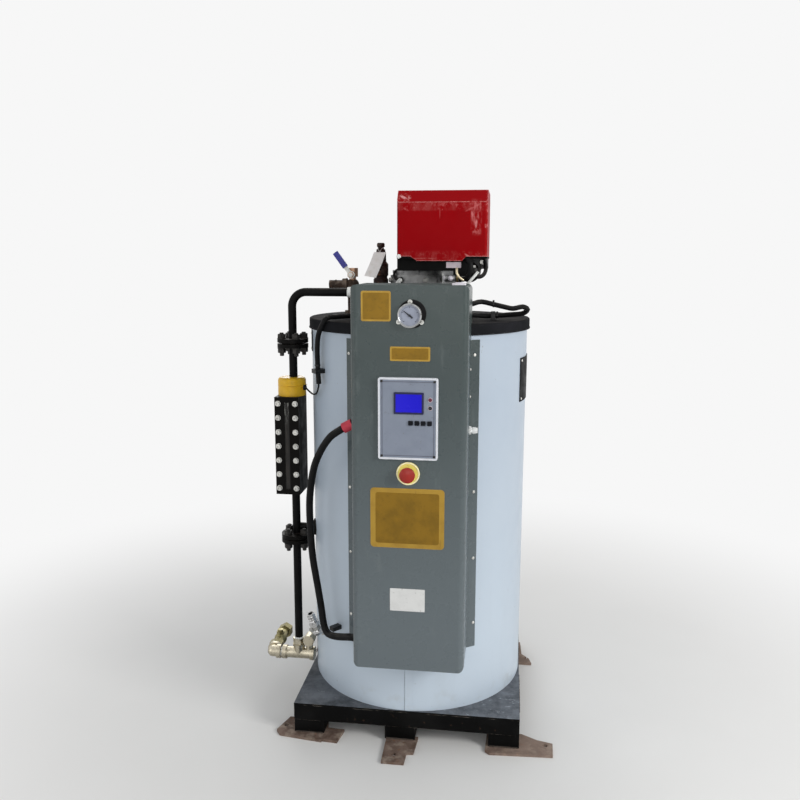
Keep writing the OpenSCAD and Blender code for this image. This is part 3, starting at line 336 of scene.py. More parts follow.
def hood_paint():
    s = Surface("hood_paint", (144, 0, 7), 0.4, gloss=0.05)
    s.tint(s.ramp(s.noise(6, 5), 0.4, 0.75), (132, 0, 6))
    left, top = axis.x - 0.047, 1.536

    def patch(z0, z1, z_soft, x0, x1, x_soft):
        """1 in a patch given in metres from the hood's top and left side."""
        return s.both(s.band("Z", top + z0, top + z1, z_soft), s.band("X", left + x0, left + x1, x_soft))

    chips = s.ramp(s.noise(66, 9, 0.8, shift=2), 0.51, 0.64)
    smears = s.ramp(s.noise(30, 8, 0.7, (1, 1, 0.3), 5), 0.44, 0.66)
    streaks = s.ramp(s.noise(60, 8, 0.7, (1, 1, 0.3), 9), 0.44, 0.58)
    front = s.band("Y", axis.y - 0.17, axis.y - 0.118, 0.012)
    bend = s.band("Z", top - 0.052, top - 0.036, 0.007)
    lip = s.band("Z", top - 0.2, top - 0.172, 0.012)
    corner = patch(-0.03, -0.012, 0.006, 0.008, 0.034, 0.006)
    column = s.both(patch(-0.108, -0.04, 0.018, 0.208, 0.226, 0.008), front)
    # side is a painted highlight: a pale band down the hood's right edge, where its rounded corner catches
    # the light.
    side = s.both(patch(-0.1, 0.01, 0.02, 0.243, 0.26, 0.004), front)
    for mask, level, colour in ((bend, 0.62, (190, 92, 92)), (corner, 0.85, (220, 150, 148)),
                                (column, 0.62, (200, 108, 108)), (lip, 0.4, (172, 84, 80)),
                                (side, 0.8, (206, 128, 128))):
        s.tint(s.both(s.both(mask, chips), level), colour)
    s.tint(s.both(s.both(s.math("MAXIMUM", bend, lip), smears), 0.35), (170, 84, 82))
    s.tint(s.both(s.both(column, streaks), 0.55), (208, 118, 118))
    for x, z, wide, high, turn, level, colour in (
            (0.017, -0.0195, 0.014, 0.0042, 24, 0.9, (222, 156, 158)),
            (0.034, -0.0215, 0.006, 0.003, 10, 0.7, (204, 130, 130)),
            (0.217, -0.092, 0.0045, 0.016, 4, 0.75, (216, 140, 142)),
            (0.206, -0.066, 0.004, 0.01, -12, 0.6, (208, 124, 126)),
            (0.2, -0.052, 0.02, 0.004, -28, 0.5, (196, 100, 100)),
            (0.196, -0.178, 0.016, 0.004, 36, 0.6, (204, 128, 126)),
            (0.118, -0.062, 0.0024, 0.022, 0, 0.34, (186, 84, 84)),
            (0.075, -0.184, 0.05, 0.0022, 0, 0.45, (196, 110, 106))):
        scuff = s.spot((left + x, axis.y - 0.13, top + z), (wide, 0.05, high), turn)
        rough_rim = s.ramp(s.noise(95, 6, 0.7, shift=x * 40), 0.34, 0.52)
        s.tint(s.both(s.both(scuff, rough_rim), level), colour)
    worn = s.ramp(s.noise(46, 7, 0.72), 0.32, 0.5)
    s.tint(s.both(s.both(s.edges(0.004, 0.008, 0.07), worn), 0.85), (210, 140, 138))
    s.tint(s.both(s.facing_up(0.9, 0.99), s.ramp(s.noise(18, 7), 0.4, 0.75, 0, 0.6)), (150, 96, 90))
    s.dull(s.ramp(s.noise(26, 6), 0.35, 0.75), 0.52)
    s.bump(s.noise(260, 3), 0.00004).bump(s.noise(6, 2), 0.0015)
    return s.done()


def brass_print():
    s = Surface("brass_print", (168, 134, 52), 0.4, 0.35, gloss=0.3)
    s.tint(s.ramp(s.noise(24, 5), 0.4, 0.75), (154, 120, 46))
    s.tint(s.ramp(s.noise(90, 6, 0.7, (1, 1, 0.2)), 0.62, 0.74), (136, 104, 44))
    s.tint(s.both(s.edges(0.0012), 0.8), (196, 164, 84))
    s.bump(s.noise(500, 2, 0.5, (1, 1, 0.05)), 0.00004)
    return s.done()


def brass_field():
    """The plain darker field inside a brass plate's border."""
    s = Surface("brass_field", (134, 102, 30), 0.46, 0.35, gloss=0.2)
    s.tint(s.ramp(s.noise(26, 6, 0.6), 0.38, 0.72), (118, 90, 27))
    s.tint(s.both(s.ramp(s.noise(110, 6, 0.7, shift=8), 0.54, 0.74), 0.5), (98, 74, 28))
    s.bump(s.noise(500, 2, 0.5, (1, 1, 0.05)), 0.00004)
    return s.done()


def bare_metal(name, colour, rough=0.34, metal=1.0, grime=(70, 66, 60)):
    s = Surface(name, colour, rough, metal, gloss=0.4)
    s.tint(s.ramp(s.noise(40, 6, 0.6), 0.42, 0.75), [int(c * 0.82) for c in colour])
    s.tint(s.both(s.ramp(s.noise(85, 7, 0.65, shift=3), 0.55, 0.7), 0.7), grime)
    s.dull(s.ramp(s.noise(60, 5), 0.3, 0.75), min(rough + 0.25, 0.9))
    s.bump(s.noise(420, 4, 0.6), 0.00012)
    return s.done()


def cast_metal():
    s = Surface("cast_metal", (142, 142, 142), 0.5, 0.6)
    s.tint(s.ramp(s.noise(18, 7, 0.6), 0.4, 0.7), (92, 93, 95))
    s.tint(s.ramp(s.noise(15, 5, shift=11), 0.5, 0.64), (178, 180, 178))
    s.tint(s.ramp(s.noise(38, 6, shift=5), 0.56, 0.72), (62, 63, 64))
    s.tint(s.both(s.edges(0.002), 0.7), (186, 186, 182))
    s.bump(s.noise(150, 5, 0.6), 0.0005)
    return s.done()


def plastic(name, colour, rough=0.4, mottle=0.9):
    s = Surface(name, colour, rough, gloss=0.35)
    s.tint(s.ramp(s.noise(30, 5), 0.4, 0.78), [int(c * mottle) for c in colour])
    s.tint(s.both(s.ramp(s.noise(110, 5, shift=2), 0.62, 0.72), 0.4), (92, 86, 80))
    s.dull(s.ramp(s.noise(40, 4), 0.3, 0.75), min(rough + 0.16, 0.95))
    s.bump(s.noise(700, 2), 0.00006)
    return s.done()


def rubber(name="rubber", colour=(13, 13, 14), rough=0.46):
    s = Surface(name, colour, rough, gloss=0.12)
    s.tint(s.ramp(s.noise(20, 6), 0.42, 0.76), [c + 9 for c in colour])
    s.tint(s.both(s.facing_up(0.3, 0.95), s.ramp(s.noise(34, 6), 0.4, 0.7, 0, 0.6)), (92, 88, 84))
    s.dull(s.ramp(s.noise(46, 5), 0.3, 0.7), 0.68)
    s.bump(s.noise(380, 4), 0.0001)
    return s.done()


def screen_glass():
    s = Surface("screen_glass", (24, 18, 186), 0.16, gloss=0.14)
    s.tint(s.ramp(s.noise(9, 2), 0.3, 0.75), (36, 30, 196))
    s.shader.inputs["Emission Color"].default_value = srgb(40, 32, 200)
    s.shader.inputs["Emission Strength"].default_value = 0.14
    s.dull(s.ramp(s.noise(60, 5), 0.45, 0.7), 0.3)
    return s.done()


def sight_glass():
    s = Surface("sight_glass", (20, 18, 16), 0.16, gloss=0.3)
    s.tint(s.ramp(s.noise(60, 5, 0.5, (1, 1, 0.2)), 0.5, 0.8), (58, 52, 46))
    stains = s.ramp(s.noise(160, 6, 0.7, (1, 1, 0.15), 3), 0.5, 0.64)
    s.tint(s.both(stains, s.ramp(s.along("Z"), 0.86, 0.94)), (150, 150, 144))
    s.bump(s.noise(90, 3, 0.5, (1, 1, 0.1)), 0.0003)
    return s.done()


def paper():
    s = Surface("paper", (251, 250, 249), 0.85)
    s.tint(s.ramp(s.noise(60, 6), 0.4, 0.75), (240, 238, 234))
    s.tint(s.both(s.ramp(s.noise(30, 4, shift=5), 0.6, 0.78), 0.3), (206, 194, 172))
    s.bump(s.noise(200, 5), 0.0002)
    return s.done()


def make_materials():
    return {
        "jacket": jacket_paint(), "cabinet": cabinet_paint(), "cap": cap_paint(), "base": base_paint(),
        "foot": rusty("foot_rust", (122, 104, 94), (92, 76, 67), pale_end=True),
        "dark": dark_paint("dark_paint", 0.3, 0.42, (12, 12, 12)),
        "casing": dark_paint("casing_paint", 0.12, 0.5, (6, 6, 6)),
        "pipe": dark_paint("pipe_paint", 0.3, 0.36, (13, 13, 13)),
        "block": dark_paint("block_paint", 0.35, 0.36, (8, 7, 6)),
        "hood": hood_paint(),
        "brass_print": brass_print(),
        "steel": bare_metal("steel", (176, 176, 172)),
        "bolt": bare_metal("bolt_steel", (222, 221, 216), 0.42, 0.6),
        "black_bolt": bare_metal("black_bolt", (52, 50, 48), 0.5, 0.6),
        "galvanised": bare_metal("galvanised", (196, 188, 168), 0.22, 1.0, (74, 64, 48)),
        "brass": bare_metal("brass", (170, 148, 100), 0.42, 0.9, (92, 82, 60)),
        "valve_brass": bare_metal("valve_brass", (178, 144, 120), 0.42, 0.9, (96, 74, 62)),
        "cock": bare_metal("worn_brass", (154, 146, 108), 0.34, 0.95, (72, 64, 42)),
        "chrome": bare_metal("chrome", (206, 206, 206), 0.18),
        "ring": bare_metal("ring_metal", (158, 160, 164), 0.26),
        "cast": cast_metal(),
        "steam_rust": rusty("steam_rust", (66, 52, 44), (44, 34, 28), dust=0.5),
        "valve_iron": rusty("valve_iron", (44, 24, 22), (28, 15, 14), 0.6, dust=0.2),
        "bezel": plastic("bezel_plastic", (214, 217, 224), mottle=0.96),
        "groove": plastic("groove_plastic", (96, 100, 114), mottle=0.94),
        "face": plastic("face_plastic", (126, 134, 149), mottle=0.96),
        "screen": screen_glass(),
        "key": plastic("key_plastic", (22, 25, 34)),
        "key_top": rubber("key_rubber", (9, 11, 18), 0.5),
        "white": plastic("white_plastic", (214, 215, 214), mottle=0.95),
        "gland": plastic("gland_plastic", (240, 242, 242), mottle=0.97),
        "dial": plastic("dial_plastic", (146, 152, 168)),
        "yellow": plastic("yellow_plastic", (236, 220, 116), 0.38, 0.96),
        # A paler copy of the collar's yellow: the painted highlight of the e-stop collar's lit rim.
        "painted_rim_highlight": plastic("painted_rim_highlight_plastic", (250, 242, 200), 0.34, 0.98),
        "red": plastic("red_plastic", (154, 34, 24), 0.3),
        "ferrule": plastic("ferrule_plastic", (204, 62, 80)),
        "blue": plastic("blue_plastic", (58, 60, 142)),
        "led": plastic("led_plastic", (102, 38, 58), 0.4),
        "sensor": plastic("sensor_paint", (226, 178, 34), 0.28, 0.94),
        "rubber": rubber(),
        "glass": sight_glass(),
        "paper": paper(),
        "black_plastic": plastic("black_plastic", (9, 9, 10), 0.34, 1.3),
        "frame_blue": plastic("frame_plastic", (14, 14, 64), 0.3),
        "tape": plastic("white_tape", (234, 236, 234), 0.6),
        "bead": bare_metal("weld_bead", (70, 62, 56), 0.6, 0.5),
        "seam": plastic("seam_shadow", (160, 170, 180), 0.6),
        "field": brass_field(),
        "pale": bare_metal("pale_metal", (208, 205, 212), 0.45, 0.3, (150, 146, 148)),
        "pilot": bare_metal("pilot_tube", (222, 208, 176), 0.34, 0.6, (150, 130, 92)),
        "label": plastic("label_plastic", (196, 184, 192), 0.5, 0.92),
    }


NODES_BY_LOOK = {
    "base": "base_plate side_rails cross_rails legs", "foot": "front_feet rear_feet",
    "jacket": "jacket", "cap": "top_cap", "dark": "side_plates", "cabinet": "cabinet_cover",
    "bezel": "controller_bezel", "face": "controller_panel", "screen": "controller_screen",
    "key": "controller_keys", "steel": "gauge_case flue_spigot valve_lever", "dial": "gauge_dial",
    "yellow": "estop_collar", "red": "estop_button", "brass_print": "brass_plates",
    "white": "white_label", "gland": "cable_gland", "ferrule": "hose_ferrule",
    "rubber": "control_hose left_conduit right_conduit", "black_plastic": "cable_clips burner_motor",
    "pipe": "level_pipes", "block": "column_flanges level_gauge_block", "sensor": "sensor_cap",
    "glass": "gauge_glass", "galvanised": "drain_tee", "cock": "drain_cock",
    "chrome": "feed_inlet", "cast": "burner_flange gas_valve", "casing": "burner_casing",
    "hood": "burner_hood", "steam_rust": "steam_outlet", "valve_brass": "vent_valve",
    "blue": "lever_grip", "valve_iron": "safety_valve",
}
# Bevel widths, in metres, for the edges of the imported nodes
NODES_BY_BEVEL = {
    0.0005: "valve_lever", 0.0008: "vent_valve cable_gland", 0.0009: "burner_hood",
    0.001: "cable_clips drain_tee feed_inlet",
    0.0012: "base_plate front_feet rear_feet controller_bezel top_cap safety_valve",
    0.0015: "legs burner_casing column_flanges drain_cock burner_flange",
    0.002: "side_rails cross_rails gas_valve sensor_cap lever_grip burner_motor",
    0.0025: "level_gauge_block", 0.003: "estop_button",
}


def smooth_by_angle(mesh, degrees=32):
    mesh.shade_smooth()
    mesh.set_sharp_from_angle(angle=math.radians(degrees))


def add_bevel(thing, width, degrees=30):
    edge = thing.modifiers.new("edge", "BEVEL")
    edge.width = width
    edge.segments = 2
    edge.limit_method = "ANGLE"
    edge.angle_limit = math.radians(degrees)
    edge.harden_normals = True


def dress_nodes():
    for look, names in NODES_BY_LOOK.items():
        for name in names.split():
            mesh = nodes[name].data
            mesh.materials.clear()
            mesh.materials.append(LOOKS[look])
            smooth_by_angle(mesh)
    for width, names in NODES_BY_BEVEL.items():
        for name in names.split():
            add_bevel(nodes[name], width, 40)


# Mesh helpers

def facing(place, out):
    """A matrix at place whose Z points along out and whose Y is as near up as it can be."""
    z = Vector(out).normalized()
    y = UP - z * z.dot(UP)
    if y.length < 1e-6:
        y = Vector((0, 1, 0)) - z * z.y
    y.normalize()
    x = y.cross(z)
    return Matrix((
        (x.x, y.x, z.x, place.x), (x.y, y.y, z.y, place.y), (x.z, y.z, z.z, place.z), (0, 0, 0, 1)))


def ahead(x, y, z):
    """A matrix that faces the front, with x and z in mm from the shell's axis and y in metres."""
    return facing(Vector((axis.x + x / 1000, y, z / 1000)), FRONT)


def spun(matrix, degrees):
    return matrix @ Matrix.Rotation(math.radians(degrees), 4, "Z")


def moved(matrix, y):
    return matrix @ Matrix.Translation((0, y, 0))


def circle(r, h, n):
    if r < 1e-7:
        return [(0, 0, h)]
    return [(r * math.cos(2 * math.pi * i / n), r * math.sin(2 * math.pi * i / n), h) for i in range(n)]


def put(bm, points, matrix):
    return [bm.verts.new(matrix @ Vector(p)) for p in points]


def skin(bm, rings):
    """Faces between neighbouring rings, of which one may be a single point."""
    n = max(len(ring) for ring in rings)
    for a, b in zip(rings, rings[1:]):
        for i in range(n):
            j = (i + 1) % n
            if len(a) == 1 and len(b) > 1:
                bm.faces.new((a[0], b[i], b[j]))
            elif len(b) == 1 and len(a) > 1:
                bm.faces.new((a[i], a[j], b[0]))
            elif len(a) > 1 and len(b) > 1:
                bm.faces.new((a[i], a[j], b[j], b[i]))


def lathe(bm, profile, matrix, n=24):
    """Turns (radius, height) pairs, in metres, about the matrix's Z."""
    skin(bm, [put(bm, circle(r, h, n), matrix) for r, h in profile])


def disc(bm, r, low, high, matrix, n=24):
    lathe(bm, [(0, low), (r, low), (r, high), (0, high)], matrix, n)


def prism(bm, outline, low, high, matrix):
    """A closed outline of (x, y) pairs extruded from low to high along the matrix's Z."""
    bottom, top = [put(bm, [(x, y, z) for x, y in outline], matrix) for z in (low, high)]
    bm.faces.new(bottom[::-1])
    bm.faces.new(top)
    skin(bm, [bottom, top])


def rounded(w, h, r):
    """The outline of a rounded rectangle about the middle."""
    points, n = [], 5
    for cx, cy, start in ((w / 2 - r, h / 2 - r, 0), (-w / 2 + r, h / 2 - r, 90),
                          (-w / 2 + r, -h / 2 + r, 180), (w / 2 - r, -h / 2 + r, 270)):
        for i in range(n + 1):
            a = math.radians(start + 90 * i / n)
            points.append((cx + r * math.cos(a), cy + r * math.sin(a)))
    return points


def hexagon(bm, across, low, high, matrix):
    """A hexagonal prism with chamfered corners and the middles of its flats as points."""
    flat, points = across / 2, 12
    r = flat / math.cos(math.pi / 6)
    rim = r * 0.88
    slope = (r - rim) * 0.6
    rings = []
    for radius, h in ((0, low), (rim, low), (r, low + slope), (r, high - slope), (rim, high), (0, high)):
        ring = circle(radius, h, points)
        ring[1::2] = circle(min(radius, flat), h, points)[1::2]
        rings.append(put(bm, ring, matrix))
    skin(bm, rings)


def attach(made, body=BODY):
    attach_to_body(made, body)


def piece(name, bm, look, smooth=35, bevel=0.0):
    """Turns a bmesh into a shown piece that rides on the boiler."""
    bmesh.ops.recalc_face_normals(bm, faces=bm.faces[:])
    mesh = bpy.data.meshes.new(name)
    bm.to_mesh(mesh)
    bm.free()
    mesh.materials.append(LOOKS[look])
    smooth_by_angle(mesh, smooth)
    made = add_object(name, mesh)
    if bevel:
        add_bevel(made, bevel)
    attach(made)


def hose(name, points, radius, look, resolution=8):
    """A smooth round tube along control points."""
    data = bpy.data.curves.new(name, "CURVE")
    data.dimensions = "3D"
    data.bevel_depth = radius
    data.bevel_resolution = 6
    data.use_fill_caps = True
    spline = data.splines.new("NURBS")
    spline.points.add(len(points) - 1)
    for p, v in zip(spline.points, points):
        p.co = (*v, 1)
    spline.order_u = 4
    spline.use_endpoint_u = True
    spline.resolution_u = resolution
    data.materials.append(LOOKS[look])
    made = add_object(name, data)
    attach(made)


def hex_bolt(bm, place, out, size, head=0.6, washer=True, turn=0.0, shank=0.0):
    """A hex head of width size across flats, with a washer, standing out from place."""
    m = spun(facing(place, out), turn)
    low = 0.0
    if washer:
        low = size * 0.12
        disc(bm, size * 0.62, 0, low, m, 20)
    hexagon(bm, size, low, low + size * head, m)
    if shank:
        r, end = size * 0.3, low + size * head + shank
        lathe(bm, [(r, low), (r, end), (size * 0.24, end + 0.001), (0, end + 0.001)], m, 16)


def pan_screw(bm, place, out, radius, turn=0.0):
    """A low round screw head with a hollow."""
    lathe(bm, [(0, -0.0005), (radius, -0.0005), (radius, radius * 0.25), (radius * 0.8, radius * 0.5),
               (radius * 0.35, radius * 0.62), (radius * 0.3, radius * 0.4), (0, radius * 0.4)],
          spun(facing(place, out), turn), 20)


# Small parts

def shell_details():
    wide, thick, steps = 0.021, 0.0011, 8
    z0, z1 = box["jacket"][0].z + 0.0005, cap_low + 0.004
    for name, turn in (("jacket_seam", 0), ("jacket_seam_rear", 180)):
        bm = bmesh.new()
        angles = [turn + math.degrees(wide / shell_r) * k / steps for k in range(steps + 1)]
        loop = [on_shell(a, 0, thick) for a in angles] + [on_shell(a, 0, 0.0001) for a in angles[::-1]]
        low, high = [[bm.verts.new(v + UP * z) for v in loop] for z in (z0, z1)]
        bm.faces.new(low)
        bm.faces.new(high[::-1])
        skin(bm, [low, high])
        piece(name, bm, "jacket")
        hose(name + "_line", [on_shell(turn - 0.15, z, 0.0004) for z in (98.6, 400, 700, 1000, 1156)],
             0.0007, "seam", resolution=2)

    bm = bmesh.new()
    for i, (angle, z) in enumerate(((33.6, 1101), (34.2, 902), (34.2, 727), (34.6, 538), (35.2, 348),
                                    (-29.8, 1101), (-29.8, 916), (-29.8, 731), (-29.8, 545), (-29.8, 360))):
        pan_screw(bm, on_shell(angle, z, 0.0023), outward(angle), 0.0042, 17 * i)
    for y, z in ((-280, 1064), (-280, 992)):
        pan_screw(bm, at(167, y, z), RIGHT, 0.0036, y + z)
    for low, high, z0, z1 in ((72, 100, 951, 1076), (-100, -72, 1086, 1146)):
        for i, (angle, z) in enumerate(((low, z0 + 8), (high, z0 + 8), (low, z1 - 8), (high, z1 - 8))):
            pan_screw(bm, on_shell(angle, z, 0.0022), outward(angle), 0.0034, 31 * i)
    piece("cabinet_screws", bm, "bolt")

    bm = bmesh.new()
    rim = box["top_cap"][1].x - axis.x
    profile = [(rim - 0.0004, 0.0), (rim + 0.0012, 0.0004), (rim + 0.0016, 0.0018),
               (rim + 0.0012, 0.0034), (rim - 0.0004, 0.004)]
    lathe(bm, profile, Matrix.Translation(Vector((axis.x, axis.y, cap_low))), 160)
    piece("cap_hem", bm, "cap")


def frame_line(look, name, middle, w, h, wide, depth):
    """A raised rectangular frame on a front face."""
    bm = bmesh.new()
    m = facing(middle, FRONT)
    r = 0.002
    outer, inner = rounded(w, h, r), rounded(w - 2 * wide, h - 2 * wide, max(r - wide, 0.0003))
    rings = [put(bm, [(x, y, z) for x, y in line], m)
             for line, z in ((outer, 0.0), (outer, depth), (inner, depth), (inner, 0.0))]
    skin(bm, rings + rings[:1])
    piece(name, bm, look)


def controller_details():
    lo, hi = box["controller_bezel"]
    middle = (lo + hi) / 2
    w, h = hi.x - lo.x, hi.z - lo.z
    panel_y = box["controller_panel"][0].y
    inset = 0.0092
    bm = bmesh.new()
    for sx in (-1, 1):
        for sz in (-1, 1):
            place = Vector((middle.x + sx * (w / 2 - inset), panel_y, middle.z + sz * (h / 2 - inset)))
            pan_screw(bm, place, FRONT, 0.0031, 20 + 35 * sx * sz)
    piece("controller_screws", bm, "black_bolt")

    bm = bmesh.new()
    lo, hi = box["estop_collar"]
    r = (hi.x - lo.x) / 2
    m = facing(Vector(((lo.x + hi.x) / 2, front_y - 0.003, (lo.z + hi.z) / 2)), FRONT)
    # The collar's raised rim, coloured as a painted highlight.
    lathe(bm, [(r - 0.0038, -0.001), (r - 0.0036, 0.0008), (r - 0.0022, 0.0014), (r - 0.0006, 0.0008),
               (r + 0.0001, -0.001)], m, 72)
    piece("estop_rim", bm, "painted_rim_highlight")
    frame_line("groove", "panel_groove", Vector((middle.x, panel_y, middle.z)), w - 0.019, h - 0.019,
               0.0017, 0.0005)

    lights_x = 74
    lit, unlit = ahead(lights_x, panel_y, 1003), ahead(lights_x, panel_y, 982)
    for name, look, m in (("controller_light", "led", lit), ("controller_dark_light", "key", unlit)):
        bm = bmesh.new()
        lathe(bm, [(0, 0), (0.0046, 0), (0.0046, 0.0012), (0.0034, 0.0026), (0, 0.0032)], m)
        piece(name, bm, look)
    bm = bmesh.new()
    for m in (lit, unlit):
        lathe(bm, [(0.0047, 0), (0.0061, 0), (0.0061, 0.0007), (0.0054, 0.0011), (0.0047, 0.0007),
                   (0.0047, 0)], m)
    piece("light_rings", bm, "label")

    lo, hi = box["controller_screen"]
    past = 0.0036
    frame_line("frame_blue", "screen_rim", Vector(((lo.x + hi.x) / 2, panel_y, (lo.z + hi.z) / 2)),
               hi.x - lo.x + past, hi.z - lo.z + past, 0.0048, 0.0022)
    bm = bmesh.new()
    lo, hi = box["controller_keys"]
    keys = 4
    for i in range(keys):
        x = lo.x + 0.005 + (hi.x - lo.x - 0.01) * i / (keys - 1)
        m = facing(Vector((x, lo.y, (lo.z + hi.z) / 2 + 0.0012)), FRONT)
        prism(bm, rounded(0.0118, 0.0115, 0.0016), lo.y - hi.y, 0.0006, m)
    piece("key_tops", bm, "key_top", bevel=0.0003)


def plate_details():
    bm = bmesh.new()
    for x, z, w, h, r in ((-64, 1235, 66, 66, 3), (22, 1117, 92, 28, 2), (16, 690, 165, 136, 6)):
        prism(bm, rounded(w / 1000, h / 1000, r / 1000), -0.0003, 0.0002,
              ahead(x, box["brass_plates"][0].y, z))
    piece("plate_fields", bm, "field")


def gauge_details():
    lo, hi = box["gauge_dial"]
    centre = Vector(((lo.x + hi.x) / 2, lo.y, (lo.z + hi.z) / 2))
    dial = facing(centre, FRONT)
    first, sweep, steps, outer = 225, 270, 40, 0.0225
    bm = bmesh.new()
    for i in range(steps + 1):
        inner, wide = (0.0205, 0.0003) if i % 10 else (0.0185, 0.0006)
        prism(bm, [(inner, -wide), (outer, -wide), (outer, wide), (inner, wide)], 0.0001, 0.0003,
              spun(dial, first - sweep * i / steps))
    piece("dial_marks", bm, "key")

    bm = bmesh.new()
    prism(bm, [(-0.0095, -0.0023), (0.018, -0.0008), (0.0205, 0), (0.018, 0.0008), (-0.0095, 0.0023)],
          0.0012, 0.002, spun(dial, 142))
    lathe(bm, [(0, 0), (0.003, 0), (0.003, 0.0026), (0, 0.003)], dial, 20)
    piece("dial_needle", bm, "key")

    bm = bmesh.new()
    case_y = box["gauge_case"][0].y
    rim = 0.03
    deep = centre.y - case_y
    lathe(bm, [(0.0262, -deep), (0.0262, 0.0004), (0.0275, 0.0014), (0.029, 0.001),
               (rim + 0.0006, -0.002), (rim + 0.0006, -0.0045), (rim - 0.0002, -0.005)],
          facing(Vector((centre.x, case_y + 0.0005, centre.z)), FRONT), 72)
    piece("gauge_ring", bm, "ring")

    bm = bmesh.new()
    ears_r = 0.0332
    for degrees in (90, 210, 330):
        a = math.radians(degrees)
        place = Vector((centre.x + ears_r * math.cos(a), front_y - 0.004, centre.z + ears_r * math.sin(a)))
        pan_screw(bm, place, FRONT, 0.0026, degrees)
    piece("gauge_screws", bm, "steel")

    # An off-centre dark ring behind the gauge, which shows as a dark crescent at its upper right.
    bm = bmesh.new()
    lathe(bm, [(0.024, 0), (0.0345, 0), (0.0352, 0.0008), (0.0352, 0.0022), (0.0342, 0.003),
               (0.024, 0.003)],
          facing(Vector((centre.x + 0.005, front_y, centre.z + 0.0032)), FRONT), 72)
    piece("gauge_dark_ring", bm, "rubber")


def column_details():
    lo, hi = box["level_gauge_block"]
    rows, margin, side = 7, 0.019, 0.0255
    places = [(i, sx, (lo.x + hi.x) / 2 + sx * side,
               hi.z - margin - (hi.z - lo.z - 2 * margin) * i / (rows - 1))
              for i in range(rows) for sx in (-1, 1)]
    bm = bmesh.new()
    for i, sx, x, z in places:
        m = spun(facing(Vector((x, lo.y, z)), FRONT), 13 * i + 29 * sx)
        disc(bm, 0.0084, 0, 0.0014, m, 28)
        lathe(bm, [(0, 0.0014), (0.0068, 0.0014), (0.0068, 0.0068), (0.006, 0.0078), (0.0034, 0.0078),
                   (0.0034, 0.0046), (0, 0.0046)], m, 28)
    piece("block_bolts", bm, "bolt")
    bm = bmesh.new()
    for i, sx, x, z in places:
        hex_bolt(bm, Vector((x, hi.y, z)), -FRONT, 0.014, 0.6, turn=17 * i, shank=0.003)
    piece("block_nuts", bm, "black_bolt")

    bm = bmesh.new()
    foot = at(COLUMN_X, COLUMN_Y, 0)
    half, bolts_r, size = 0.013, 0.0335, 0.0205
    for k, z in enumerate((1.109, 0.519)):
        for degrees in (32, 122, 212, 302):
            a = math.radians(degrees + 24 * k)
            p = Vector((foot.x + bolts_r * math.cos(a), foot.y + bolts_r * math.sin(a), z))
            hex_bolt(bm, p + UP * half, UP, size, 0.55, turn=degrees, shank=0.001 + 0.001 * (degrees % 3))
            hex_bolt(bm, p - UP * half, -UP, size, 0.62, turn=degrees + 20, shank=0.008)
    piece("flange_bolts", bm, "black_bolt")

    bm = bmesh.new()
    lo, hi = box["sensor_cap"]
    r = (hi.x - lo.x) / 2
    m = Matrix.Translation(Vector(((lo.x + hi.x) / 2, (lo.y + hi.y) / 2, lo.z + 0.55 * (hi.z - lo.z))))
    lathe(bm, [(r - 0.001, -0.001), (r + 0.0006, -0.0006), (r + 0.0006, 0.0006), (r - 0.001, 0.001)], m, 96)
    piece("sensor_seam", bm, "sensor")
    bm = bmesh.new()
    out = Vector((math.cos(math.radians(-20)), math.sin(math.radians(-20)), 0))
    hexagon(bm, 0.015, 0.0, 0.0045, facing(at(-365, COLUMN_Y, 980) + out * 0.0425, out))
    piece("sensor_nut", bm, "black_bolt")

    bm = bmesh.new()
    lathe(bm, [(0.0122, 0), (0.0148, 0.0006), (0.0152, 0.008), (0.0148, 0.0154), (0.0122, 0.016)],
          facing(at(-196, COLUMN_Y, 1256), RIGHT), 40)
    lathe(bm, [(0.0122, 0), (0.014, 0.0006), (0.014, 0.0064), (0.0122, 0.007)],
          facing(at(COLUMN_X, COLUMN_Y, 187), UP), 40)
    lathe(bm, [(0.0132, 0), (0.0146, 0.0006), (0.0146, 0.003), (0.0132, 0.0036)],
          facing(at(-414, COLUMN_Y, 139), -RIGHT), 40)
    piece("thread_tape", bm, "tape")


def card(bm, corners, bow, thick):
    """A thin four-cornered card, bowed forwards along its length."""
    a, b, c, d = [Vector(v) for v in corners]
    out = (b - a).cross(d - a).normalized()
    across, along = 3, 10
    rings = []
    for j in range(along + 1):
        t = j / along
        row = [a.lerp(b, i / across).lerp(d.lerp(c, i / across), t) + out * bow * math.sin(math.pi * t)
               for i in range(across + 1)]
        rings.append([bm.verts.new(p + out * thick / 2) for p in row]
                     + [bm.verts.new(p - out * thick / 2) for p in row[::-1]])
    skin(bm, rings)
    for ring in (rings[0], rings[-1]):
        back = ring[::-1]
        for i in range(across):
            bm.faces.new((ring[i], ring[i + 1], back[i + 1], back[i]))


def fitting_details():
    bm = bmesh.new()
    card(bm, (at(-130, -31, 1370), at(-95, -31, 1369), at(-122, -50, 1296), at(-156, -50, 1302)),
         0.004, 0.0004)
    piece("valve_tag", bm, "paper", smooth=60)
    string = ((-112, -31, 1366), (-113, -26, 1376), (-106, -14, 1383), (-104, 2, 1385),
              (-113, 12, 1385), (-124, 4, 1384), (-121, -14, 1380), (-113, -30, 1367))
    hose("tag_string", [at(*p) for p in string], 0.0006, "tape")
    bm = bmesh.new()
    m = facing(at(-200, -29.6, 1304), FRONT)
    disc(bm, 0.0085, 0, 0.001, m)
    hexagon(bm, 0.013, 0.001, 0.0048, m)
    piece("lever_nut", bm, "steel")
    bm = bmesh.new()
    for x, r in ((-249, 0.0136), (-216, 0.0182)):
        lathe(bm, [(r - 0.0006, 0), (r + 0.0008, 0.0005), (r + 0.001, 0.002), (r + 0.0008, 0.0035),
                   (r - 0.0006, 0.004)], facing(at(x, 0, STEAM_Z), -RIGHT), 40)
    piece("steam_bands", bm, "steam_rust")


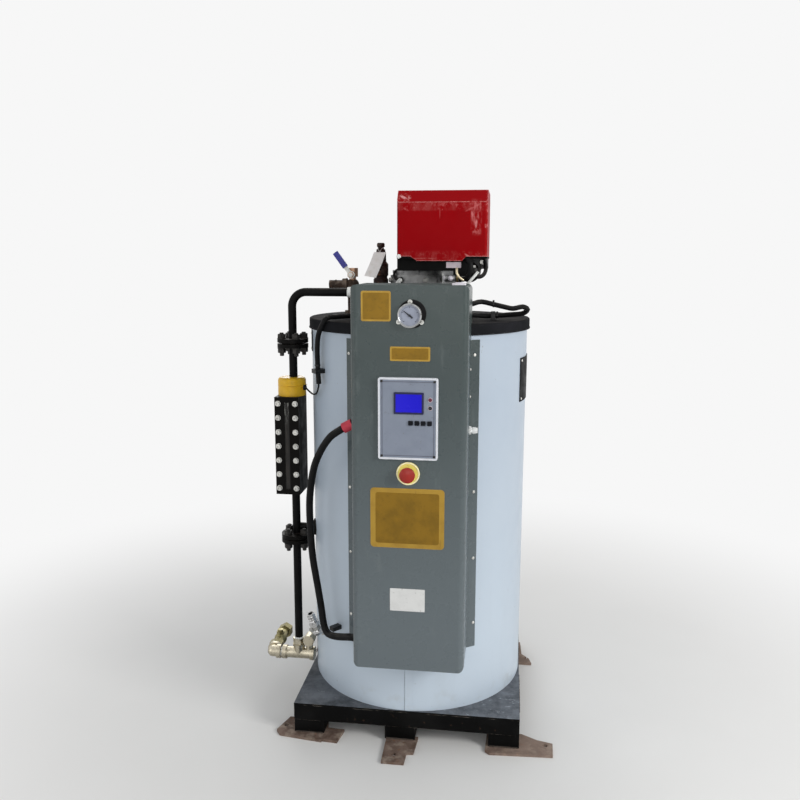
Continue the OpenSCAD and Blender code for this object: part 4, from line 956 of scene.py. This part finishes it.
def burner_details():
    front = at(0, -138, 0).y
    bm = bmesh.new()
    prism(bm, rounded(0.041, 0.016, 0.0015), 0, 0.0012, ahead(109.5, front - 0.0003, 1334))
    piece("burner_label", bm, "label", bevel=0.0003)
    bm = bmesh.new()
    thick = 0.003
    prism(bm, rounded(0.042, 0.054, 0.003), 0, thick, ahead(129, front + 2 * thick, 1331))
    for z in (-0.016, 0.012):
        prism(bm, rounded(0.03, 0.007, 0.002), 0, thick, moved(ahead(129, front + thick, 1331), z))
    piece("motor_bracket", bm, "dark", bevel=0.0006)

    bm = bmesh.new()
    lathe(bm, [(0.0118, 0), (0.0172, 0.0004), (0.0178, 0.003), (0.0172, 0.0056), (0.0118, 0.006)],
          facing(at(116, -112, 1301), RIGHT), 40)
    piece("gas_ring", bm, "brass")
    bm = bmesh.new()
    lathe(bm, [(0, 0), (0.0075, 0), (0.0075, 0.003), (0.006, 0.006), (0.0028, 0.008), (0, 0.0085)],
          facing(at(102, -146, 1298), FRONT), 28)
    lathe(bm, [(0, 0), (0.0085, 0), (0.007, 0.0035), (0.0035, 0.0055), (0, 0.006)],
          facing(at(86, -138, 1298), -RIGHT), 28)
    piece("gas_plugs", bm, "pale")
    bm = bmesh.new()
    hexagon(bm, 0.013, -0.006, 0.007, facing(at(-48, -72, 1292), (-0.55, -0.8, -0.25)))
    lathe(bm, [(0, 0), (0.0052, 0), (0.0052, 0.0125), (0.0044, 0.0135), (0, 0.0135)],
          facing(at(-50, -64.2, 1279), (-0.575, -0.818, 0)), 24)
    piece("plug_nut", bm, "black_bolt")
    bm = bmesh.new()
    lathe(bm, [(0, -0.001), (0.004, 0), (0.0058, 0.002), (0.0062, 0.006), (0.0062, 0.016), (0.0052, 0.0195),
               (0.003, 0.0215), (0, 0.022)], facing(at(-57, -74, 1279), (0.62, -0.3, 0.72)), 28)
    lathe(bm, [(0, 0), (0.0058, 0), (0.0062, 0.006), (0.0046, 0.0088), (0, 0.0098)],
          facing(at(-41, -148.2, 1357), FRONT), 28)
    piece("burner_caps", bm, "tape")

    leads = (
        ("pilot_tube", "pilot", 0.0036, (
            (118, -133, 1327), (118, -141, 1324), (118.5, -145, 1314), (121, -146, 1307), (126, -146, 1300),
            (132, -145, 1296), (138, -142, 1293))),
        ("ignition_lead", "rubber", 0.0035, (
            (-53, -70, 1287), (-66, -64, 1296), (-72, -50, 1312), (-60, -40, 1322), (-40, -44, 1326))),
        ("motor_lead", "rubber", 0.0055, (
            (150, -96, 1350), (146, -116, 1338), (152, -128, 1318), (166, -130, 1302), (186, -122, 1300),
            (199, -104, 1316), (197, -90, 1338), (188, -80, 1350))),
        ("sensing_hose", "rubber", 0.0062, (
            (140, -126, 1350), (146, -144, 1350), (156, -152, 1344), (159, -153, 1326), (154, -152, 1308),
            (144, -144, 1297), (132, -130, 1292), (126, -116, 1297))),
        ("pale_lead", "tape", 0.004, (
            (148, -150, 1282), (153, -152, 1287), (162, -153, 1298), (170, -152, 1307), (177, -149, 1316))),
        ("sleeved_lead", "rubber", 0.003, (
            (124, -114, 1293), (129, -130, 1280), (140, -145, 1276), (147, -150, 1281), (153, -152, 1287),
            (162, -153, 1298), (170, -152, 1307), (178, -149, 1317), (185, -138, 1325), (186, -112, 1331),
            (182, -78, 1334))))
    for name, look, radius, points in leads:
        hose(name, [at(*p) for p in points], radius, look)

    bm = bmesh.new()
    for i in range(4):
        a = math.radians(45 + 90 * i)
        hex_bolt(bm, at(150 + 21 * math.cos(a), -87.5, 1315 + 21 * math.sin(a)), FRONT, 0.007, 0.5,
                 washer=False, turn=20 * i)
    hex_bolt(bm, at(186, -82, 1342), FRONT, 0.011, 0.5)
    piece("motor_bolts", bm, "bolt")
    bm = bmesh.new()
    for i in range(6):
        a = math.radians(30 + 60 * i)
        hex_bolt(bm, at(COLLAR_X + 72 * math.cos(a), 72 * math.sin(a), 1195), UP, 0.015, 0.6, turn=40 * i,
                 shank=0.005)
    for i in (0, 1, 2, 3, 4, 6, 7):
        a = math.radians(22.5 + 45 * i)
        hex_bolt(bm, at(COLLAR_X + COLLAR_R * math.cos(a), COLLAR_R * math.sin(a), 1290),
                 (math.cos(a), math.sin(a), 0), 0.012, 0.5, turn=25 * i)
    piece("collar_bolts", bm, "steel")

    bm = bmesh.new()
    m = Matrix.Translation(Vector((at(141, 0, 0).x, front_y + 0.015, cab_hi.z)))
    step = 0.005
    prism(bm, rounded(0.034, 0.026, 0.003), 0.0, step, m)
    prism(bm, rounded(0.02, 0.012, 0.002), step, 0.007, m)
    piece("cabinet_top_plate", bm, "pale", bevel=0.0006)


def cable_details():
    bm = bmesh.new()
    r = 0.0071
    for place, out in (((-262, -206, 1058), UP), ((221, -150, 1228), RIGHT), ((231, -113, 1195), RIGHT),
                       ((-148, -176, 1199), RIGHT)):
        m = facing(at(*place), out)
        lathe(bm, [(r, -0.002), (r + 0.0012, -0.0018), (r + 0.0012, 0.0018), (r, 0.002)], m, 24)
        prism(bm, rounded(0.005, 0.005, 0.0008), -0.0026, 0.0026, moved(m, r + 0.002))
    piece("cable_ties", bm, "black_plastic")

    turn, tilt, reach = math.radians(217), math.radians(20), 0.345
    lean = Vector((math.sin(tilt) * math.cos(turn), math.sin(tilt) * math.sin(turn), math.cos(tilt)))
    start = Vector((axis.x, axis.y, 0.268)) + Vector((math.cos(turn), math.sin(turn), 0)) * reach
    bm = bmesh.new()
    for t in (0.038, 0.046, 0.054):
        lathe(bm, [(0.0109, -0.002), (0.0122, 0.0), (0.0109, 0.002)], facing(start + lean * t, lean), 32)
    piece("barb_ridges", bm, "chrome")
    bm = bmesh.new()
    m = facing(start + lean * 0.012, lean)
    lathe(bm, [(0.0112, -0.006), (0.0128, -0.0056), (0.0128, 0.0056), (0.0112, 0.006)], m, 40)
    prism(bm, rounded(0.012, 0.008, 0.001), -0.005, 0.005, moved(m, -0.016))
    piece("barb_clamp", bm, "steel", bevel=0.0004)


def bead(bm, a, b, r):
    """A lumpy weld bead from a to b."""
    along = (b - a).normalized()
    count = max(int((b - a).length / 0.0035), 4)
    m = facing(a, along)
    rings = []
    for k in range(count + 1):
        size = r * (0.75 + 0.35 * random.random()) if 0 < k < count else r * 0.3
        h = (b - a).length * k / count
        shift = Vector((random.uniform(-1, 1), random.uniform(-1, 1), 0)) * r * 0.18
        rings.append(put(bm, [Vector(p) + shift for p in circle(size, h, 8)], m))
    skin(bm, rings)
    bm.faces.new(rings[0][::-1])
    bm.faces.new(rings[-1])


def base_details():
    bm = bmesh.new()
    for y in (-316, 316):
        for x0, x1 in ((-318, -236), (-56, 26), (236, 318)):
            bead(bm, at(x0, y, 8.6), at(x1, y, 8.6), 0.0026)
            bead(bm, at(x0 + 4, y, 47.4), at(x1 - 4, y, 47.4), 0.0022)
    for x in (-320, 320):
        bead(bm, at(x, -276, 92.6), at(x, -60, 92.6), 0.0018)
        bead(bm, at(x, 60, 92.6), at(x, 276, 92.6), 0.0018)
    piece("weld_beads", bm, "bead", smooth=70)


# Studio

def seen_rays(tree):
    """1 for the rays that show the backdrop to the camera, straight or by metal and glass."""
    path = tree.nodes.new("ShaderNodeLightPath")
    seen = path.outputs["Is Camera Ray"]
    for kind in ("Is Glossy Ray", "Is Transmission Ray"):
        either = tree.nodes.new("ShaderNodeMath")
        either.operation = "MAXIMUM"
        tree.links.new(seen, either.inputs[0])
        tree.links.new(path.outputs[kind], either.inputs[1])
        seen = either.outputs[0]
    return seen


BACKDROP = 0.93


def make_floor():
    half = 40
    corners = [(x * half, y * half, 0) for x, y in ((-1, -1), (1, -1), (1, 1), (-1, 1))]
    mesh = bpy.data.meshes.new("floor")
    mesh.from_pydata(corners, [], [(0, 1, 2, 3)])
    s = Surface("floor_paint", (226, 226, 225), 0.85)
    s.tint(s.ramp(s.noise(1.2, 4), 0.3, 0.75), (222, 222, 221))
    material = s.done()
    length = s.node("ShaderNodeVectorMath", operation="LENGTH")
    s.link(s.place, length.inputs[0])
    fade = s.both(s.ramp(length.outputs["Value"], 0.6, 2.3), seen_rays(s.tree))
    glow = s.node("ShaderNodeEmission")
    glow.inputs["Color"].default_value = (1, 1, 1, 1)
    glow.inputs["Strength"].default_value = BACKDROP
    mix = s.node("ShaderNodeMixShader")
    for source, socket in ((fade, 0), (s.shader.outputs[0], 1), (glow.outputs[0], 2)):
        s.link(source, mix.inputs[socket])
    s.link(mix.outputs[0], s.tree.nodes["Material Output"].inputs["Surface"])
    mesh.materials.append(material)
    floor = add_object("floor", mesh)


def area_light(name, place, size, power, colour=(1, 1, 1)):
    data = bpy.data.lights.new(name, "AREA")
    data.shape = "RECTANGLE"
    data.size, data.size_y = size
    data.energy = power
    data.color = colour
    made = add_object(name, data)
    made.location = place
    made.rotation_euler = (Vector((0, 0, 0.8)) - Vector(place)).to_track_quat("-Z", "Y").to_euler()


def make_lights():
    area_light("key_light", (3.3, -2.1, 2.2), (1.3, 1.3), 88, (1, 0.99, 0.97))
    area_light("front_light", (0.2, -3.9, 1.7), (2.8, 1.8), 24)
    area_light("fill_light", (-3.0, -2.0, 1.4), (2.6, 2.6), 16)
    area_light("top_light", (0.2, 0.4, 4.2), (3.6, 3.4), 18)
    area_light("back_light", (-1.0, 3.4, 2.2), (2.6, 2.2), 40)
    world = bpy.data.worlds.new("studio")
    bpy.context.scene.world = world
    world.use_nodes = True
    tree = world.node_tree
    ground = tree.nodes["Background"]
    level = tree.nodes.new("ShaderNodeMapRange")
    level.inputs["To Min"].default_value = 0.42
    level.inputs["To Max"].default_value = BACKDROP
    tree.links.new(seen_rays(tree), level.inputs["Value"])
    tree.links.new(level.outputs["Result"], ground.inputs["Strength"])
    ground.inputs["Color"].default_value = (1, 1, 1, 1)


random.seed(4)
bpy.context.scene.view_settings.view_transform = "Standard"
make_camera()
make_lights()
LOOKS = make_materials()
make_floor()
dress_nodes()
shell_details()
controller_details()
plate_details()
gauge_details()
column_details()
fitting_details()
burner_details()
cable_details()
base_details()
